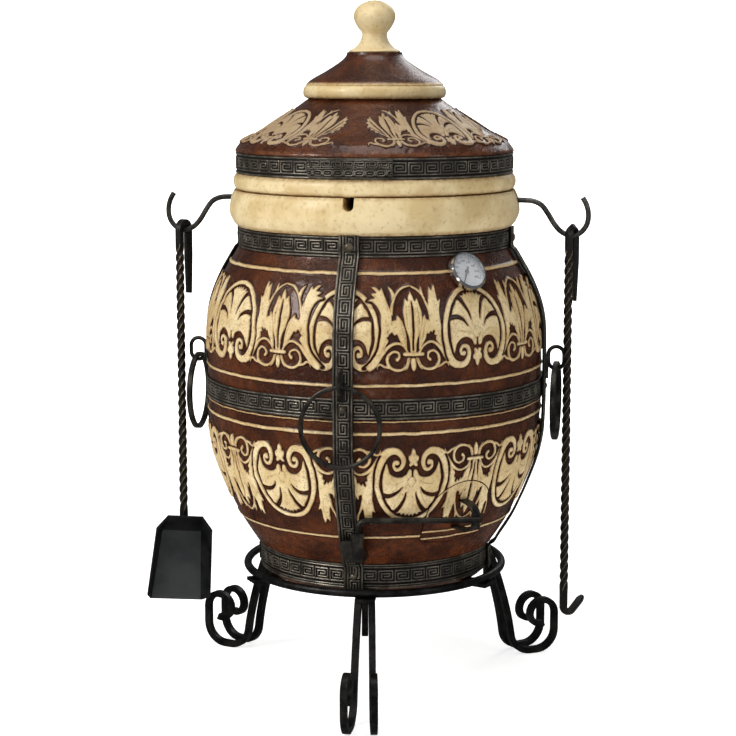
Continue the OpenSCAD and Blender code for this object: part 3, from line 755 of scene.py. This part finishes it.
def skin(name, phis, zs, mat, body, door=None, keep="out"):
    PHI, Z = np.meshgrid(phis, zs, indexing="ij")
    PHI, Z = PHI.copy(), Z.copy()
    F = grid_faces(len(phis), len(zs))
    if keep:
        T = -(DOOR_GAP + 0.1) if keep == "out" else 0.25
        for _ in range(3):
            P = polar(PHI, vr(Z) + 0.35, Z)
            D = door_distance(P) - T
            e = 0.02
            Dp = door_distance(polar(PHI + e, vr(Z) + 0.35, Z)) - T
            Dz = door_distance(polar(PHI, vr(Z + 0.1) + 0.35, Z + 0.1)) - T
            gp, gz = (Dp - D) / e, (Dz - D) / 0.1
            mm = vr(Z) * math.pi / 180
            gx = gp / mm
            g2 = gx * gx + gz * gz + 1e-9
            near = np.abs(D) < 0.62
            PHI = np.where(near, PHI - D * gx / g2 / mm, PHI)
            Z = np.where(near, Z - D * gz / g2, Z)
        P = polar(PHI, vr(Z) + 0.35, Z)
        D = door_distance(P) - T
        ok = (D <= 0.06) if keep == "out" else (D >= -0.06)
        okf = ok.ravel()[F].all(1)
        F = F[okf]
    P, v = barrel_surface(PHI, Z, door=(keep == "in"))
    if keep == "in":
        # a raised rim follows the plug's round top
        q = 1.7 - np.abs(np.clip(D, 0, 99) - 2.4)
        q = np.where(Z > 296, q, -4)
        up = 1.5 * np.clip((q + 0.5) / 1.4, 0, 1)
        now = np.hypot(P[..., 0], P[..., 1])
        want = vr(Z) + 0.35 + up
        k = np.where(want > now, want / now, 1.0)
        P = np.stack([P[..., 0] * k, P[..., 1] * k, P[..., 2]], -1)
        v = np.maximum(v, q)
    V, F, A = compact(P.reshape(-1, 3), F, {"relief": v.ravel()})
    return make_mesh(name, V, F[:, ::-1] if False else F, mat, body, A)


QN = 367
for q, side in enumerate(("front_right", "back_right", "back_left", "front_left")):
    ph = np.linspace(q * 90, q * 90 + 90, QN)
    skin("vessel_upper_" + side, ph, UP_ROWS, M_RELIEF, "root", keep=None)
    skin("vessel_lower_" + side, ph, LOW_ROWS, M_RELIEF, "root", keep="out" if q == 0 else None)
pz = rows((249, 264, 1.6), (264, 283, 0.8), (283, 296, 1.5), (296, 364, 0.95))
skin("ash_door_face", np.linspace(DOOR_AZ - 17, DOOR_AZ + 17, 148), pz, M_RELIEF, "ash_door", keep="in")

# ------------------------------------------------------------------ lid cone with its four panels
LID_PTS = [(212.3, 829.4), (212, 832), (208, 838), (201.6, 845), (189, 851.5), (175.6, 858), (156.5, 870), (138, 882), (120.5, 894), (104.4, 905.6)]
LID_PROF = crom(LID_PTS, 10)
LID_S = np.concatenate([[0], np.cumsum(np.hypot(*np.diff(LID_PROF, axis=0).T))])
LID_N = profile_normal(LID_PROF)


def fleur_free(U, Y):
    U = np.abs(U)
    leaf = poly(U, Y, [(0, 113.5), (3.6, 106.5), (5.4, 99), (9.6, 103.4), (12, 96), (14.6, 86), (15.1, 76), (12.6, 64), (8.6, 52), (5.4, 40), (4.4, 27), (0, 27)], 3, True)
    leaf = np.minimum(leaf, -stroke(U, Y, [(0, 97, .3), (0, 84, 1.15), (0, 60, 1.1), (0, 36, .75), (0, 30, .4)]))
    side = poly(U, Y, [(6.6, 31), (8.6, 43), (13.6, 56), (18, 68), (22, 82), (27.5, 96), (31, 101), (31.5, 93), (37, 92), (35, 84), (40.6, 80), (37, 74), (42, 68), (36.5, 64.5),
                       (38, 57), (31, 56), (30, 48), (24.6, 49), (20, 42), (16, 40), (12.4, 34.4), (9.8, 28)], 2)
    side = np.minimum(side, -stroke(U, Y, [(12, 38, .3), (18, 52, .9), (25, 68, 1.0), (31, 84, .4)]))
    side = np.minimum(side, -stroke(U, Y, [(16, 44, .3), (25, 54, .8), (36, 66, .3)]))
    scroll = stroke(U, Y, [(7, 19, 1.6), (9.8, 9.6, 2.0), (16.6, 3.8, 2.4), (25.6, 2.8, 2.6), (33.8, 6.6, 2.7), (38, 15, 2.6), (36, 24.2, 2.4), (29.4, 28.8, 2.2),
                           (22.6, 26.6, 2.2), (20.6, 20.8, 2.3), (24, 17.2, 2.8)])
    tail = stroke(U, Y, [(35, 6, 2.2), (42, 8, 2.2), (47.2, 11.6, 2.1), (51.4, 9.6, 1.7), (52.6, 4, 0.8)])
    tie = stroke(U, Y, [(0, 24.6, 3.1), (12.6, 24.6, 3.1)])
    foot = np.maximum(poly(U, Y, [(0, -1), (3.2, 3.6), (4.4, 10), (3.2, 19), (0, 20)], 3, True),
                      stroke(U, Y, [(4.6, 20, 1.2), (6.8, 13, 2.0), (9.8, 6, 1.8), (14, 1.4, .6)]))
    return np.maximum.reduce([leaf, side, scroll, tail, tie, foot])


gx_ = np.arange(0, 60.01, STEP)
gy_ = np.arange(-6, 126.01, STEP)
FREE = fleur_free(*np.meshgrid(gx_, gy_, indexing="ij"))


def lid_surface(phi, s):
    r = np.interp(s, LID_S, LID_PROF[:, 0])
    z = np.interp(s, LID_S, LID_PROF[:, 1])
    nr = np.interp(s, LID_S, LID_N[:, 0])
    nz = np.interp(s, LID_S, LID_N[:, 1])
    P0 = polar(phi, r, z)
    wob = WN(P0)
    a = np.mod(phi, 90.0) - 45.0
    s0, k = 15.0, 0.80
    y = (s - s0) / k + 0.6 * wob
    x = np.abs(a) * math.pi / 180 * (0.45 * r + 0.55 * 165) / 0.775 + 0.5 * wob
    inside = x <= HALF
    v = np.where(inside, sample(FV, np.minimum(x, HALF), y), sample(FREE, np.maximum(x - HALF, 0), y))
    ve = np.where(inside, sample(FVEIN, np.minimum(x, HALF), y), -4.0)
    v = np.where((y < -5) | (y > 125) | (x > HALF + 58), -4.0, v)
    ve = np.where((y < -5) | (y > 125), -4.0, ve)
    h = relief_height(v, ve, 2.5) + 0.3 + 0.25 * wob + 0.1 * WN_FINE(P0)
    return polar(phi, r + h * nr, z + h * nz), np.where(ve > 0.0, np.minimum(v, 0.55 - ve), v)


srow = np.concatenate([np.arange(0, 12, 1.6), np.arange(12, 113, 0.95), np.linspace(113, LID_S[-1], 10)])
for q, side in enumerate(("front_right", "back_right", "back_left", "front_left")):
    PHI, S = np.meshgrid(np.linspace(q * 90, q * 90 + 90, 251), srow, indexing="ij")
    P, v = lid_surface(PHI, S)
    make_mesh("lid_cone_" + side, P.reshape(-1, 3), grid_faces(251, len(srow)), M_LID_RELIEF, "lid", {"relief": v.ravel()})

# ------------------------------------------------------------------ meander bars
KEY = [(-0.6, 0), (25.6, 0)], [(0, 0), (0, 17), (20.8, 17), (20.8, 4.25), (4.2, 4.25), (4.2, 12.75), (16.6, 12.75), (16.6, 8.5), (8.6, 8.5)]
KXS = np.arange(0, 25.01, 0.25)
KYS = np.arange(-6, 23.01, 0.25)


def key_field():
    X, Y = np.meshgrid(KXS, KYS, indexing="ij")
    v = np.full(X.shape, -9.0)
    for off in (-25, 0, 25):
        for path in KEY:
            q = np.array(path, float)
            q[:, 0] += off
            v = np.maximum(v, seg_field(X, Y, q, np.full(len(q), 1.02)))
    return v


KV = key_field()


def key_at(x, y):
    """x along the bar, y across with the pattern's foot at 0; mm."""
    i = np.mod(x, 25.0) / 0.25
    j = np.clip((y + 6) / 0.25, 0, KV.shape[1] - 1.001)
    i = np.clip(i, 0, KV.shape[0] - 1.001)
    i0, j0 = i.astype(int), j.astype(int)
    fi, fj = i - i0, j - j0
    return KV[i0, j0] * (1 - fi) * (1 - fj) + KV[i0 + 1, j0] * fi * (1 - fj) + KV[i0, j0 + 1] * (1 - fi) * fj + KV[i0 + 1, j0 + 1] * fi * fj


def bar_relief(x, c, half, depth=1.15, key_shift=0.0):
    """height above the bar's ground, for x along and c across (-half..half)."""
    v = key_at(x, c + 8.5 + key_shift)
    v = np.maximum(v, np.abs(c) - (half - 2.9))
    if half > 16:
        v = np.maximum(v, 0.9 - np.abs(np.abs(c) - (half - 5.2)))
    t = np.clip((v + 0.38) / 0.76, 0, 1)
    h = depth * t * t * (3 - 2 * t)
    e = np.clip((half - np.abs(c)) / 0.9, 0, 1)
    return h * np.sqrt(np.clip(e, 0, 1)) - 0.5 * (1 - e) ** 2


def ring_bar(name, r0, z0, height, thick, body, replaces, mat, count, reverse=False):
    n = int(2 * math.pi * r0 / 0.82)
    phis = np.arange(n) * 360.0 / n
    half = height / 2
    c = np.concatenate([np.linspace(-half, -half + 1.2, 4), np.arange(-half + 1.9, half - 1.6, 0.78), np.linspace(half - 1.2, half, 4)])
    PHI, C = np.meshgrid(phis, c, indexing="ij")
    per = count * 25.0 / 360.0
    x = PHI * per * (-1 if reverse else 1) + 12.5
    P0 = polar(PHI, np.full(PHI.shape, r0), C + z0 + half)
    h = bar_relief(x, C, half)
    r = r0 + thick - 1.2 + h + 0.05 * WN_FINE(P0) - 0.03
    r = np.minimum(r, r0 + thick)
    # close round the back: inner wall
    back_top = polar(phis, np.full(n, r0 + 0.05), np.full(n, z0 + height))
    back_bot = polar(phis, np.full(n, r0 + 0.05), np.full(n, z0))
    body_pts = polar(PHI, r, C + z0 + half)
    V = np.concatenate([back_bot[:, None], body_pts, back_top[:, None]], 1)
    rel = np.concatenate([np.full((n, 1), 0.0), h, np.full((n, 1), 0.0)], 1)
    m = V.shape[1]
    F = grid_faces(n, m, closed=True)
    inner = np.stack([np.arange(n) * m, np.arange(n) * m + m - 1, ((np.arange(n) + 1) % n) * m + m - 1, ((np.arange(n) + 1) % n) * m], -1)
    ob = make_mesh(name, V.reshape(-1, 3), np.vstack([F, inner]), mat, body, {"relief": rel.ravel()})
    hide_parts(*replaces)
    return ob


ring_bar("neck_meander", 206, 685, 30, 3.5, "root", ["neck_band"], M_PATINA, 53)
ring_bar("belly_meander", 258, 457.5, 30, 3.5, "root", ["belly_band"], M_PATINA, 66)
ring_bar("base_meander", 175.5, 186, 38, 3.5, "root", ["base_band"], M_PATINA, 45)
ring_bar("lid_meander", 209, 797, 31, 3.5, "lid", ["lid_band"], M_PATINA, 54)

# upright strips
SIN = [(179.4, 184), (179.4, 201), (179.4, 218), (188, 226)] + [(float(vr(z)) + 4.3, z) for z in np.arange(236, 662, 12.5)] + [(219.5, 674), (214.4, 682), (209.9, 687), (209.9, 700), (209.9, 716)]
SPATH = crom(SIN, 12)
SL = np.concatenate([[0], np.cumsum(np.hypot(*np.diff(SPATH, axis=0).T))])
srows = np.linspace(0, SL[-1], int(SL[-1] / 0.8))
sr_, sz_ = np.interp(srows, SL, SPATH[:, 0]), np.interp(srows, SL, SPATH[:, 1])
cc_ = np.concatenate([np.linspace(-15, -13.8, 4), np.arange(-13.1, 13.11, 0.78), np.linspace(13.8, 15, 4)])


def strip_mesh(name, az, node):
    S, C = np.meshgrid(srows, cc_, indexing="ij")
    R, Z = np.meshgrid(sr_, cc_, indexing="ij")[0], np.meshgrid(sz_, cc_, indexing="ij")[0]
    h = bar_relief(S + 6.0, C, 15.0, 1.2)
    # flats under the rivet heads
    for zc, rad in ((205, 6.5), (472.5, 6.5), (700, 8.0)):
        d = np.hypot(Z - zc, C)
        h = np.where(d < rad, h * np.clip((d - rad + 1.5) / 1.5, 0, 1) + 0.5 * (1 - np.clip((d - rad + 1.5) / 1.5, 0, 1)), h)
    out = R + 4.0 - 1.2 + h
    fr = np.stack([out, C, Z], -1)
    lo = np.stack([R[:, 0] + 0.05, C[:, 0], Z[:, 0]], -1)[:, None]
    hi = np.stack([R[:, -1] + 0.05, C[:, -1], Z[:, -1]], -1)[:, None]
    V = np.concatenate([lo, fr, hi], 1)
    rel = np.concatenate([np.zeros((len(srows), 1)), h, np.zeros((len(srows), 1))], 1)
    n, m = V.shape[:2]
    F = grid_faces(n, m)[:, ::-1]
    i = np.arange(n - 1)
    back = np.stack([i * m, i * m + m - 1, (i + 1) * m + m - 1, (i + 1) * m], -1)[:, ::-1]
    a = math.radians(az - 90)
    X = V[..., 0] * math.cos(a) - V[..., 1] * math.sin(a)
    Y = V[..., 0] * math.sin(a) + V[..., 1] * math.cos(a)
    W = np.stack([X, Y, V[..., 2]], -1)
    ob = make_mesh(name, W.reshape(-1, 3), np.vstack([F, back]), M_PATINA, "root", {"relief": rel.ravel()})
    bm_cap(ob, [list(range(0, m))[::-1], [(n - 1) * m + k for k in range(m)]])
    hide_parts(node)
    return ob


def bm_cap(ob, loops):
    import bmesh
    bm = bmesh.new()
    bm.from_mesh(ob.data)
    bm.verts.ensure_lookup_table()
    for L in loops:
        f = bm.faces.new([bm.verts[k] for k in L])
        f.smooth = False
    bmesh.ops.triangulate(bm, faces=[f for f in bm.faces if len(f.verts) > 4])
    bm.to_mesh(ob.data)
    bm.free()


for nm, az in (("front", 0), ("right", 90), ("back", 180), ("left", 270)):
    strip_mesh("strip_meander_" + nm, az, "strip_" + nm)

# ------------------------------------------------------------------ tools: hooked bars with a twisted shaft
def square_section(hx, hy, rnd, per=7):
    pts = []
    for cx, cy, a0 in ((1, 1, 0), (-1, 1, 90), (-1, -1, 180), (1, -1, 270)):
        for k in range(4):
            a = math.radians(a0 + 90 * k / 3)
            pts.append((cx * (hx - rnd) + rnd * math.cos(a), cy * (hy - rnd) + rnd * math.sin(a)))
        nx, ny = {0: (-1, 1), 90: (-1, -1), 180: (1, -1), 270: (1, 1)}[a0]
        p = np.array(pts[-1])
        a = math.radians(a0 + 90)
        q = np.array((nx * (hx - rnd) + rnd * math.cos(a), ny * (hy - rnd) + rnd * math.sin(a)))
        for k in range(1, per):
            pts.append(tuple(p + (q - p) * k / per))
    return np.array(pts)


def sweep_bar(name, path, half, twist, side0, mats, body, rel):
    path = np.asarray(path, float)
    T = np.gradient(path, axis=0)
    T /= np.linalg.norm(T, axis=1)[:, None]
    side = np.asarray(side0, float)
    rings, R = [], []
    for i in range(len(path)):
        side = side - T[i] * (side @ T[i])
        side /= np.linalg.norm(side)
        up = np.cross(T[i], side)
        hx, hy = half[i]
        s = square_section(hx, hy, min(0.9, hx * 0.4, hy * 0.4))
        a = twist[i]
        c, sn = math.cos(a), math.sin(a)
        s2 = np.stack([s[:, 0] * c - s[:, 1] * sn, s[:, 0] * sn + s[:, 1] * c], 1)
        rings.append(path[i] + s2[:, :1] * side + s2[:, 1:] * up)
        R.append(np.clip(np.hypot(s[:, 0], s[:, 1]) - 5.0, 0, 3) * rel[i])
    V = np.array(rings)
    n, m = V.shape[:2]
    F = grid_faces(m, n, closed=True)
    V2 = V.transpose(1, 0, 2)
    ob = make_mesh(name, V2.reshape(-1, 3), F, mats, body, {"relief": np.array(R).T.ravel()})
    bm_cap(ob, [[k * n for k in range(m)][::-1], [k * n + n - 1 for k in range(m)]])
    return ob


HOOK_Z, HOOK_R, HANG_R, TURN = 703.6, 11.5, 304.0, math.radians(-20)


def tool_world(P, side):
    c, s = math.cos(TURN), math.sin(TURN)
    P = np.asarray(P, float)
    return np.stack([P[..., 0] * c - P[..., 1] * s + side * HANG_R, P[..., 0] * s + P[..., 1] * c, P[..., 2]], -1)


def tool_bar_piece(name, side, low, body, node, foot=None):
    P, half, tw, rel = [], [], [], []
    if foot is not None:
        for k, p in enumerate(foot):
            P.append(p)
            e = min(1.0, k / 3 + 0.45)
            half.append((4.9 * e, 4.9 * min(1.0, 0.7 + k / 10)))
            tw.append(0.0)
            rel.append(0.0)
    z0 = low if foot is None else foot[-1][2] + 1.0
    ang = 0.0
    for z in np.arange(z0, HOOK_Z, 1.1):
        P.append((0, -HOOK_R, z))
        half.append((5.0, 5.0))
        e = np.clip((z - z0 - 16) / 20, 0, 1) * np.clip((HOOK_Z - 16 - z) / 20, 0, 1)
        ang += 1.1 * 2 * math.pi / 62.0 * e
        tw.append(ang)
        rel.append(float(min(1.0, e * 3)))
    lock = round(ang / (math.pi / 2)) * math.pi / 2
    fix = lock - ang
    cnt = len(tw)
    first = len(foot) if foot is not None else 0
    for k in range(first, cnt):
        tw[k] += fix * (k - first) / max(1, cnt - first - 1)
    for a in np.linspace(180, 0, 40):
        P.append((0, HOOK_R * math.cos(math.radians(a)), HOOK_Z + HOOK_R * math.sin(math.radians(a))))
        half.append((5.0, 5.0))
        tw.append(lock)
        rel.append(0.0)
    for z in np.arange(HOOK_Z - 1.5, HOOK_Z - 101, -1.6):
        P.append((0, HOOK_R, z))
        f = np.clip((z - (HOOK_Z - 101)) / 60, 0, 1)
        half.append((5.0, 2.2 + 2.8 * f) if abs(math.cos(lock)) > 0.5 else (2.2 + 2.8 * f, 5.0))
        tw.append(lock)
        rel.append(0.0)
    W = tool_world(np.array(P), side)
    c, s = math.cos(TURN), math.sin(TURN)
    ob = sweep_bar(name, W, half, tw, (c, s, 0), M_TOOL, body, rel)
    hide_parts(node)
    return ob


tool_bar_piece("scoop_bar", -1, 236.0, "scoop", "scoop_handle")
c20, s20 = math.cos(-TURN), math.sin(-TURN)
foot_xz = [(29.2 - 0.0, 145.6)] + [(20.5 + (29.2 - 20.5) * t, 132.3 + (145.6 - 132.3) * t) for t in (0.8, 0.6, 0.4, 0.2)] + \
          [(7 + 7 * math.cos(math.radians(a)), 125.5 + 7 * math.sin(math.radians(a))) for a in np.linspace(327, 180, 18)] + [(0, 127.5), (0, 130.5)]
foot = [(x * c20, -HOOK_R + x * s20, z) for x, z in foot_xz]
tool_bar_piece("poker_bar", 1, 134.0, "poker", "poker", foot=foot)

# ------------------------------------------------------------------ clasp plate on the lid's band
CLX = np.arange(-66, 66.01, 0.25)
CLY = np.arange(0, 26.01, 0.25)


def clasp_field():
    X, Y = np.meshgrid(CLX, CLY, indexing="ij")
    v = np.maximum(0.9 - np.minimum(Y, 26 - Y), 0.9 - (63.5 - np.abs(X)))
    v = np.maximum(v, 0.55 - np.abs(Y - 13.2))
    for k in range(-4, 5):
        x0 = k * 16.5
        for path in ([(-7.2, 22.6), (5.4, 22.6), (5.4, 18.2), (-2.6, 18.2), (-2.6, 20.3)], [(7.4, 15.6), (-5.4, 15.6), (-5.4, 19.4)], [(8.2, 22.6), (8.2, 15.6)]):
            q = np.array(path, float)
            q[:, 0] += x0
            v = np.maximum(v, seg_field(X, Y, q, np.full(len(q), 0.72)))
    for k in range(-4, 5):
        x0 = k * 15.5
        for path in ([(-8.2, 4.0), (-4.6, 10.4), (4.6, 10.4), (8.2, 4.0)], [(-8.2, 10.4), (-4.6, 3.4), (4.6, 3.4), (8.2, 10.4)], [(-2.6, 6.9), (2.6, 6.9)]):
            q = np.array(path, float)
            q[:, 0] += x0
            v = np.maximum(v, seg_field(X, Y, q, np.full(len(q), 0.72)))
    return np.minimum(v, np.where(np.abs(X) > 63.9, -1, 9))


CLV = clasp_field()
ca = np.concatenate([np.linspace(-17, -16.7, 3), np.arange(-16.5, 16.51, 0.16), np.linspace(16.7, 17, 3)])
cz = np.concatenate([np.linspace(0, 0.8, 3), np.arange(1.3, 24.9, 0.55), np.linspace(25.2, 26, 3)])
CA, CZ = np.meshgrid(ca, cz, indexing="ij")
ii = np.clip((CA * math.pi / 180 * 214 + 66) / 0.25, 0, CLV.shape[0] - 1.001)
jj = np.clip(CZ / 0.25, 0, CLV.shape[1] - 1.001)
i0, j0 = ii.astype(int), jj.astype(int)
fi, fj = ii - i0, jj - j0
cv = CLV[i0, j0] * (1 - fi) * (1 - fj) + CLV[i0 + 1, j0] * fi * (1 - fj) + CLV[i0, j0 + 1] * (1 - fi) * fj + CLV[i0 + 1, j0 + 1] * fi * fj
ct = np.clip((cv + 0.36) / 0.72, 0, 1)
ch = 1.35 * ct * ct * (3 - 2 * ct)
ce = np.clip(np.minimum(np.minimum(CZ, 26 - CZ) / 0.8, (17 - np.abs(CA)) / 0.3), 0, 1)
cr = 214.1 + ch * ce - 0.8 * (1 - ce) ** 2
n, m = CA.shape
front = polar(CA, cr, CZ + 799.5)
back = polar(CA, np.full(CA.shape, 212.55), CZ + 799.5)
V = np.concatenate([front.reshape(-1, 3), back.reshape(-1, 3)])
F = [grid_faces(n, m), grid_faces(n, m)[:, ::-1] + n * m]
loop = [(i, 0) for i in range(n)] + [(n - 1, j) for j in range(1, m)] + [(i, m - 1) for i in range(n - 2, -1, -1)] + [(0, j) for j in range(m - 2, 0, -1)]
li = np.array([a * m + b for a, b in loop])
ln = np.roll(li, -1)
F.append(np.stack([li, li + n * m, ln + n * m, ln], -1))
clasp = make_mesh("clasp_plate", V, np.vstack(F), M_CLASP, "lid", {"relief": np.concatenate([(ch * ce).ravel(), np.zeros(n * m)])})
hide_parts("lid_clasp")

# ------------------------------------------------------------------ dial marks
TH_AZ, TH_R, TH_Z, TH_UP = 46.0, 223.5, 660.0, 30.5
th_m = (Matrix.Rotation(math.radians(TH_AZ - 90), 4, "Z") @ Matrix.Translation((TH_R / 1000, 0, TH_Z / 1000)) @ Matrix.Rotation(math.radians(90 - TH_UP), 4, "Y"))


def dial_piece(name, verts, faces, mat):
    W = np.array([list(th_m @ Vector((x / 1000, y / 1000, z / 1000))) for x, y, z in verts]) * 1000
    return make_mesh(name, W, faces, mat, "root", smooth=False)


def dial_marks():
    vs, fs = [], []
    for k in range(41):
        a = math.radians(240 - 240 * k / 40 - 30)
        r0, r1, w = (21.0, 25.6, 0.42) if k % 5 == 0 else (23.2, 25.6, 0.22)
        c, s = math.cos(a), math.sin(a)
        b = len(vs)
        for h in (4.0, 4.22):
            for r, q in ((r0, -w), (r1, -w), (r1, w), (r0, w)):
                x, y = r * c - q * s, r * s + q * c
                vs.append((-y, x, h))
        fs += [(b, b + 3, b + 2, b + 1), (b + 4, b + 5, b + 6, b + 7), (b, b + 1, b + 5, b + 4), (b + 1, b + 2, b + 6, b + 5), (b + 2, b + 3, b + 7, b + 6), (b + 3, b, b + 4, b + 7)]
    return vs, fs


vs_, fs_ = dial_marks()
dial_piece("dial_ticks", vs_, fs_, M_INK)
for k in range(9):
    cu = bpy.data.curves.new("num_%d" % k, "FONT")
    cu.body = str(k * 50)
    cu.size = 0.0052
    cu.extrude = 0.0001
    cu.align_x = "CENTER"
    cu.align_y = "CENTER"
    cu.resolution_u = 3
    tmp = bpy.data.objects.new("num_tmp", cu)
    SCENE.collection.objects.link(tmp)
    dg = bpy.context.evaluated_depsgraph_get()
    me = bpy.data.meshes.new_from_object(tmp.evaluated_get(dg))
    bpy.data.objects.remove(tmp)
    bpy.data.curves.remove(cu)
    a = math.radians(240 - 30 * k - 30)
    x, y = 17.6 * math.cos(a), 17.6 * math.sin(a)
    lm = th_m @ Matrix.Translation((-y / 1000, x / 1000, 0.00412)) @ Matrix.Rotation(math.radians(90), 4, "Z")
    me.transform(lm)
    me.materials.clear()
    me.materials.append(M_INK)
    ob = bpy.data.objects.new("dial_number_%d" % k, me)
    SCENE.collection.objects.link(ob)
    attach(ob, "root")

# ------------------------------------------------------------------ the ash door's bent bow
bow_rz = crom([(205, 284, 0), (236, 283.8, 0), (254, 285.6, 0), (266.5, 291.5, 0), (272.4, 300, 0), (272.8, 305.5, 0), (272.4, 311, 0), (266.5, 319.5, 0), (254, 325.4, 0), (236, 327.2, 0), (205, 327, 0)], 8)
ba = math.radians(DOOR_AZ - 90)
bow_p = np.stack([bow_rz[:, 0] * math.cos(ba), bow_rz[:, 0] * math.sin(ba), bow_rz[:, 1]], -1)
bow = sweep_bar("door_bow_loop", bow_p, [(6.5, 2.0)] * len(bow_p), [0.0] * len(bow_p), (-math.sin(ba), math.cos(ba), 0), M_RING, "ash_door", [0.0] * len(bow_p))
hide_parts("door_bow")

# ------------------------------------------------------------------ finishes for the carried-over CAD nodes
M_COLLAR = mat_zone("collar_clay", [(0.7162, 0.7730, 0.0003)])
M_LIDSHELL = mat_zone("lid_clay", [(0.7712, 0.7968, 0.0003)])
M_CAPCLAY = mat_zone("cap_clay", [(0.9090, 0.9325, 0.0022)])
LOOK = {
    "clay_floor": M_GLAZE, "clay_lower_wall": M_GLAZE, "clay_upper_wall": M_GLAZE, "clay_collar": M_COLLAR, "lid_shell": M_LIDSHELL,
    "cap": M_CAPCLAY, "cap_knob": M_CREAM, "door_bracket": M_RING, "door_arm": M_RING, "door_bow": M_IRON, "door_plug": M_GLAZE,
    "thermometer_case": M_CHROME, "thermometer_bush": M_CHROME, "thermometer_stem": M_CHROME, "thermometer_dial": M_DIAL,
    "thermometer_needle": M_INK, "thermometer_glass": M_GLASS, "hanger_right": M_HANG, "hanger_left": M_HANG,
    "scoop_handle": M_BLACK, "scoop_pan": M_SHEET, "poker": M_BLACK, "fire_grate": M_GRATE, "grate_feet": M_GRATE, "rivets": M_RIVET,
}
for nm, ob in NODES.items():
    mt = LOOK.get(nm)
    if mt is None:
        if nm.startswith(("leg_", "stand_")):
            mt = M_IRON
        elif nm.startswith(("ring_", "eyelet_")):
            mt = M_RING
        else:
            mt = M_PATINA
    assign(ob, mt)
    smooth_cad(nm)

# raw fireclay inside: the faces that look inwards, and the undersides of lid and cap
def raw_inside(name, rmax, under=False):
    ob = NODES[name]
    ob.data.materials.append(M_RAW)
    k = len(ob.data.materials) - 1
    for p_ in ob.data.polygons:
        c_, n_ = p_.center, p_.normal
        r_ = math.hypot(c_.x, c_.y)
        if r_ > rmax or r_ < 1e-6:
            continue
        inward = (c_.x * n_.x + c_.y * n_.y) / r_ < -0.25
        if inward or (under and n_.z < -0.3) or (name == "clay_floor" and n_.z > 0.5 and c_.z > 0.25):
            p_.material_index = k


raw_inside("clay_floor", 0.172)
raw_inside("clay_lower_wall", 0.235)
raw_inside("clay_upper_wall", 0.235)
raw_inside("clay_collar", 0.16)
raw_inside("lid_shell", 0.206, True)
raw_inside("cap", 0.095, True)

# the pan's floor is bare sheet, its walls and back blacker
pan = NODES["scoop_pan"]
assign(pan, M_SHEET, M_PANBLK)
floor_n = Vector((math.sin(math.radians(24)), -math.cos(math.radians(24)), 0))
for poly_ in pan.data.polygons:
    poly_.material_index = 0 if poly_.normal.dot(floor_n) > 0.93 and poly_.area > 2e-4 else 1

# ------------------------------------------------------------------ floor and backdrop
def paper(name, emit):
    m = Mat(name)
    a = m.noise(900, 2)
    m.set(base=m.mix(a, (0.90, 0.90, 0.90), (0.93, 0.93, 0.93)), rough=0.8, spec=0.1)
    m.b.inputs["Emission Color"].default_value = (1, 1, 1, 1)
    m.b.inputs["Emission Strength"].default_value = emit
    return m.m


def lathe(name, prof, mat, n=96):
    vs, fs = [], []
    for r, z in prof:
        vs += [(r * math.cos(2 * math.pi * k / n), r * math.sin(2 * math.pi * k / n), z) for k in range(n)]
    for i in range(len(prof) - 1):
        for k in range(n):
            fs.append((i * n + k, i * n + (k + 1) % n, (i + 1) * n + (k + 1) % n, (i + 1) * n + k))
    if prof[0][0] < 0.2:
        fs.append(tuple(range(n))[::-1])
    me = bpy.data.meshes.new(name)
    me.from_pydata(vs, [], fs)
    me.polygons.foreach_set("use_smooth", [True] * len(fs))
    me.materials.append(mat)
    ob = bpy.data.objects.new(name, me)
    SCENE.collection.objects.link(ob)
    return ob


ground = lathe("floor", [(0.1, 0), (0.5, 0), (1.0, 0), (1.8, 0), (2.2, 0)], paper("floor_paper", 0.62))
ground.visible_glossy = False
# a pale surround that only the camera sees, so it lays no haze on the glaze
dome = lathe("surround", [(2.2, -0.002), (8.0, -0.002), (8.9, 0.2), (9.4, 1.0), (9.4, 5.0), (8.0, 9.0), (4.0, 11.0), (0.1, 11.6)], paper("surround_paper", 1.4))
dome.visible_diffuse = False
dome.visible_glossy = False
dome.visible_transmission = False
dome.visible_shadow = False

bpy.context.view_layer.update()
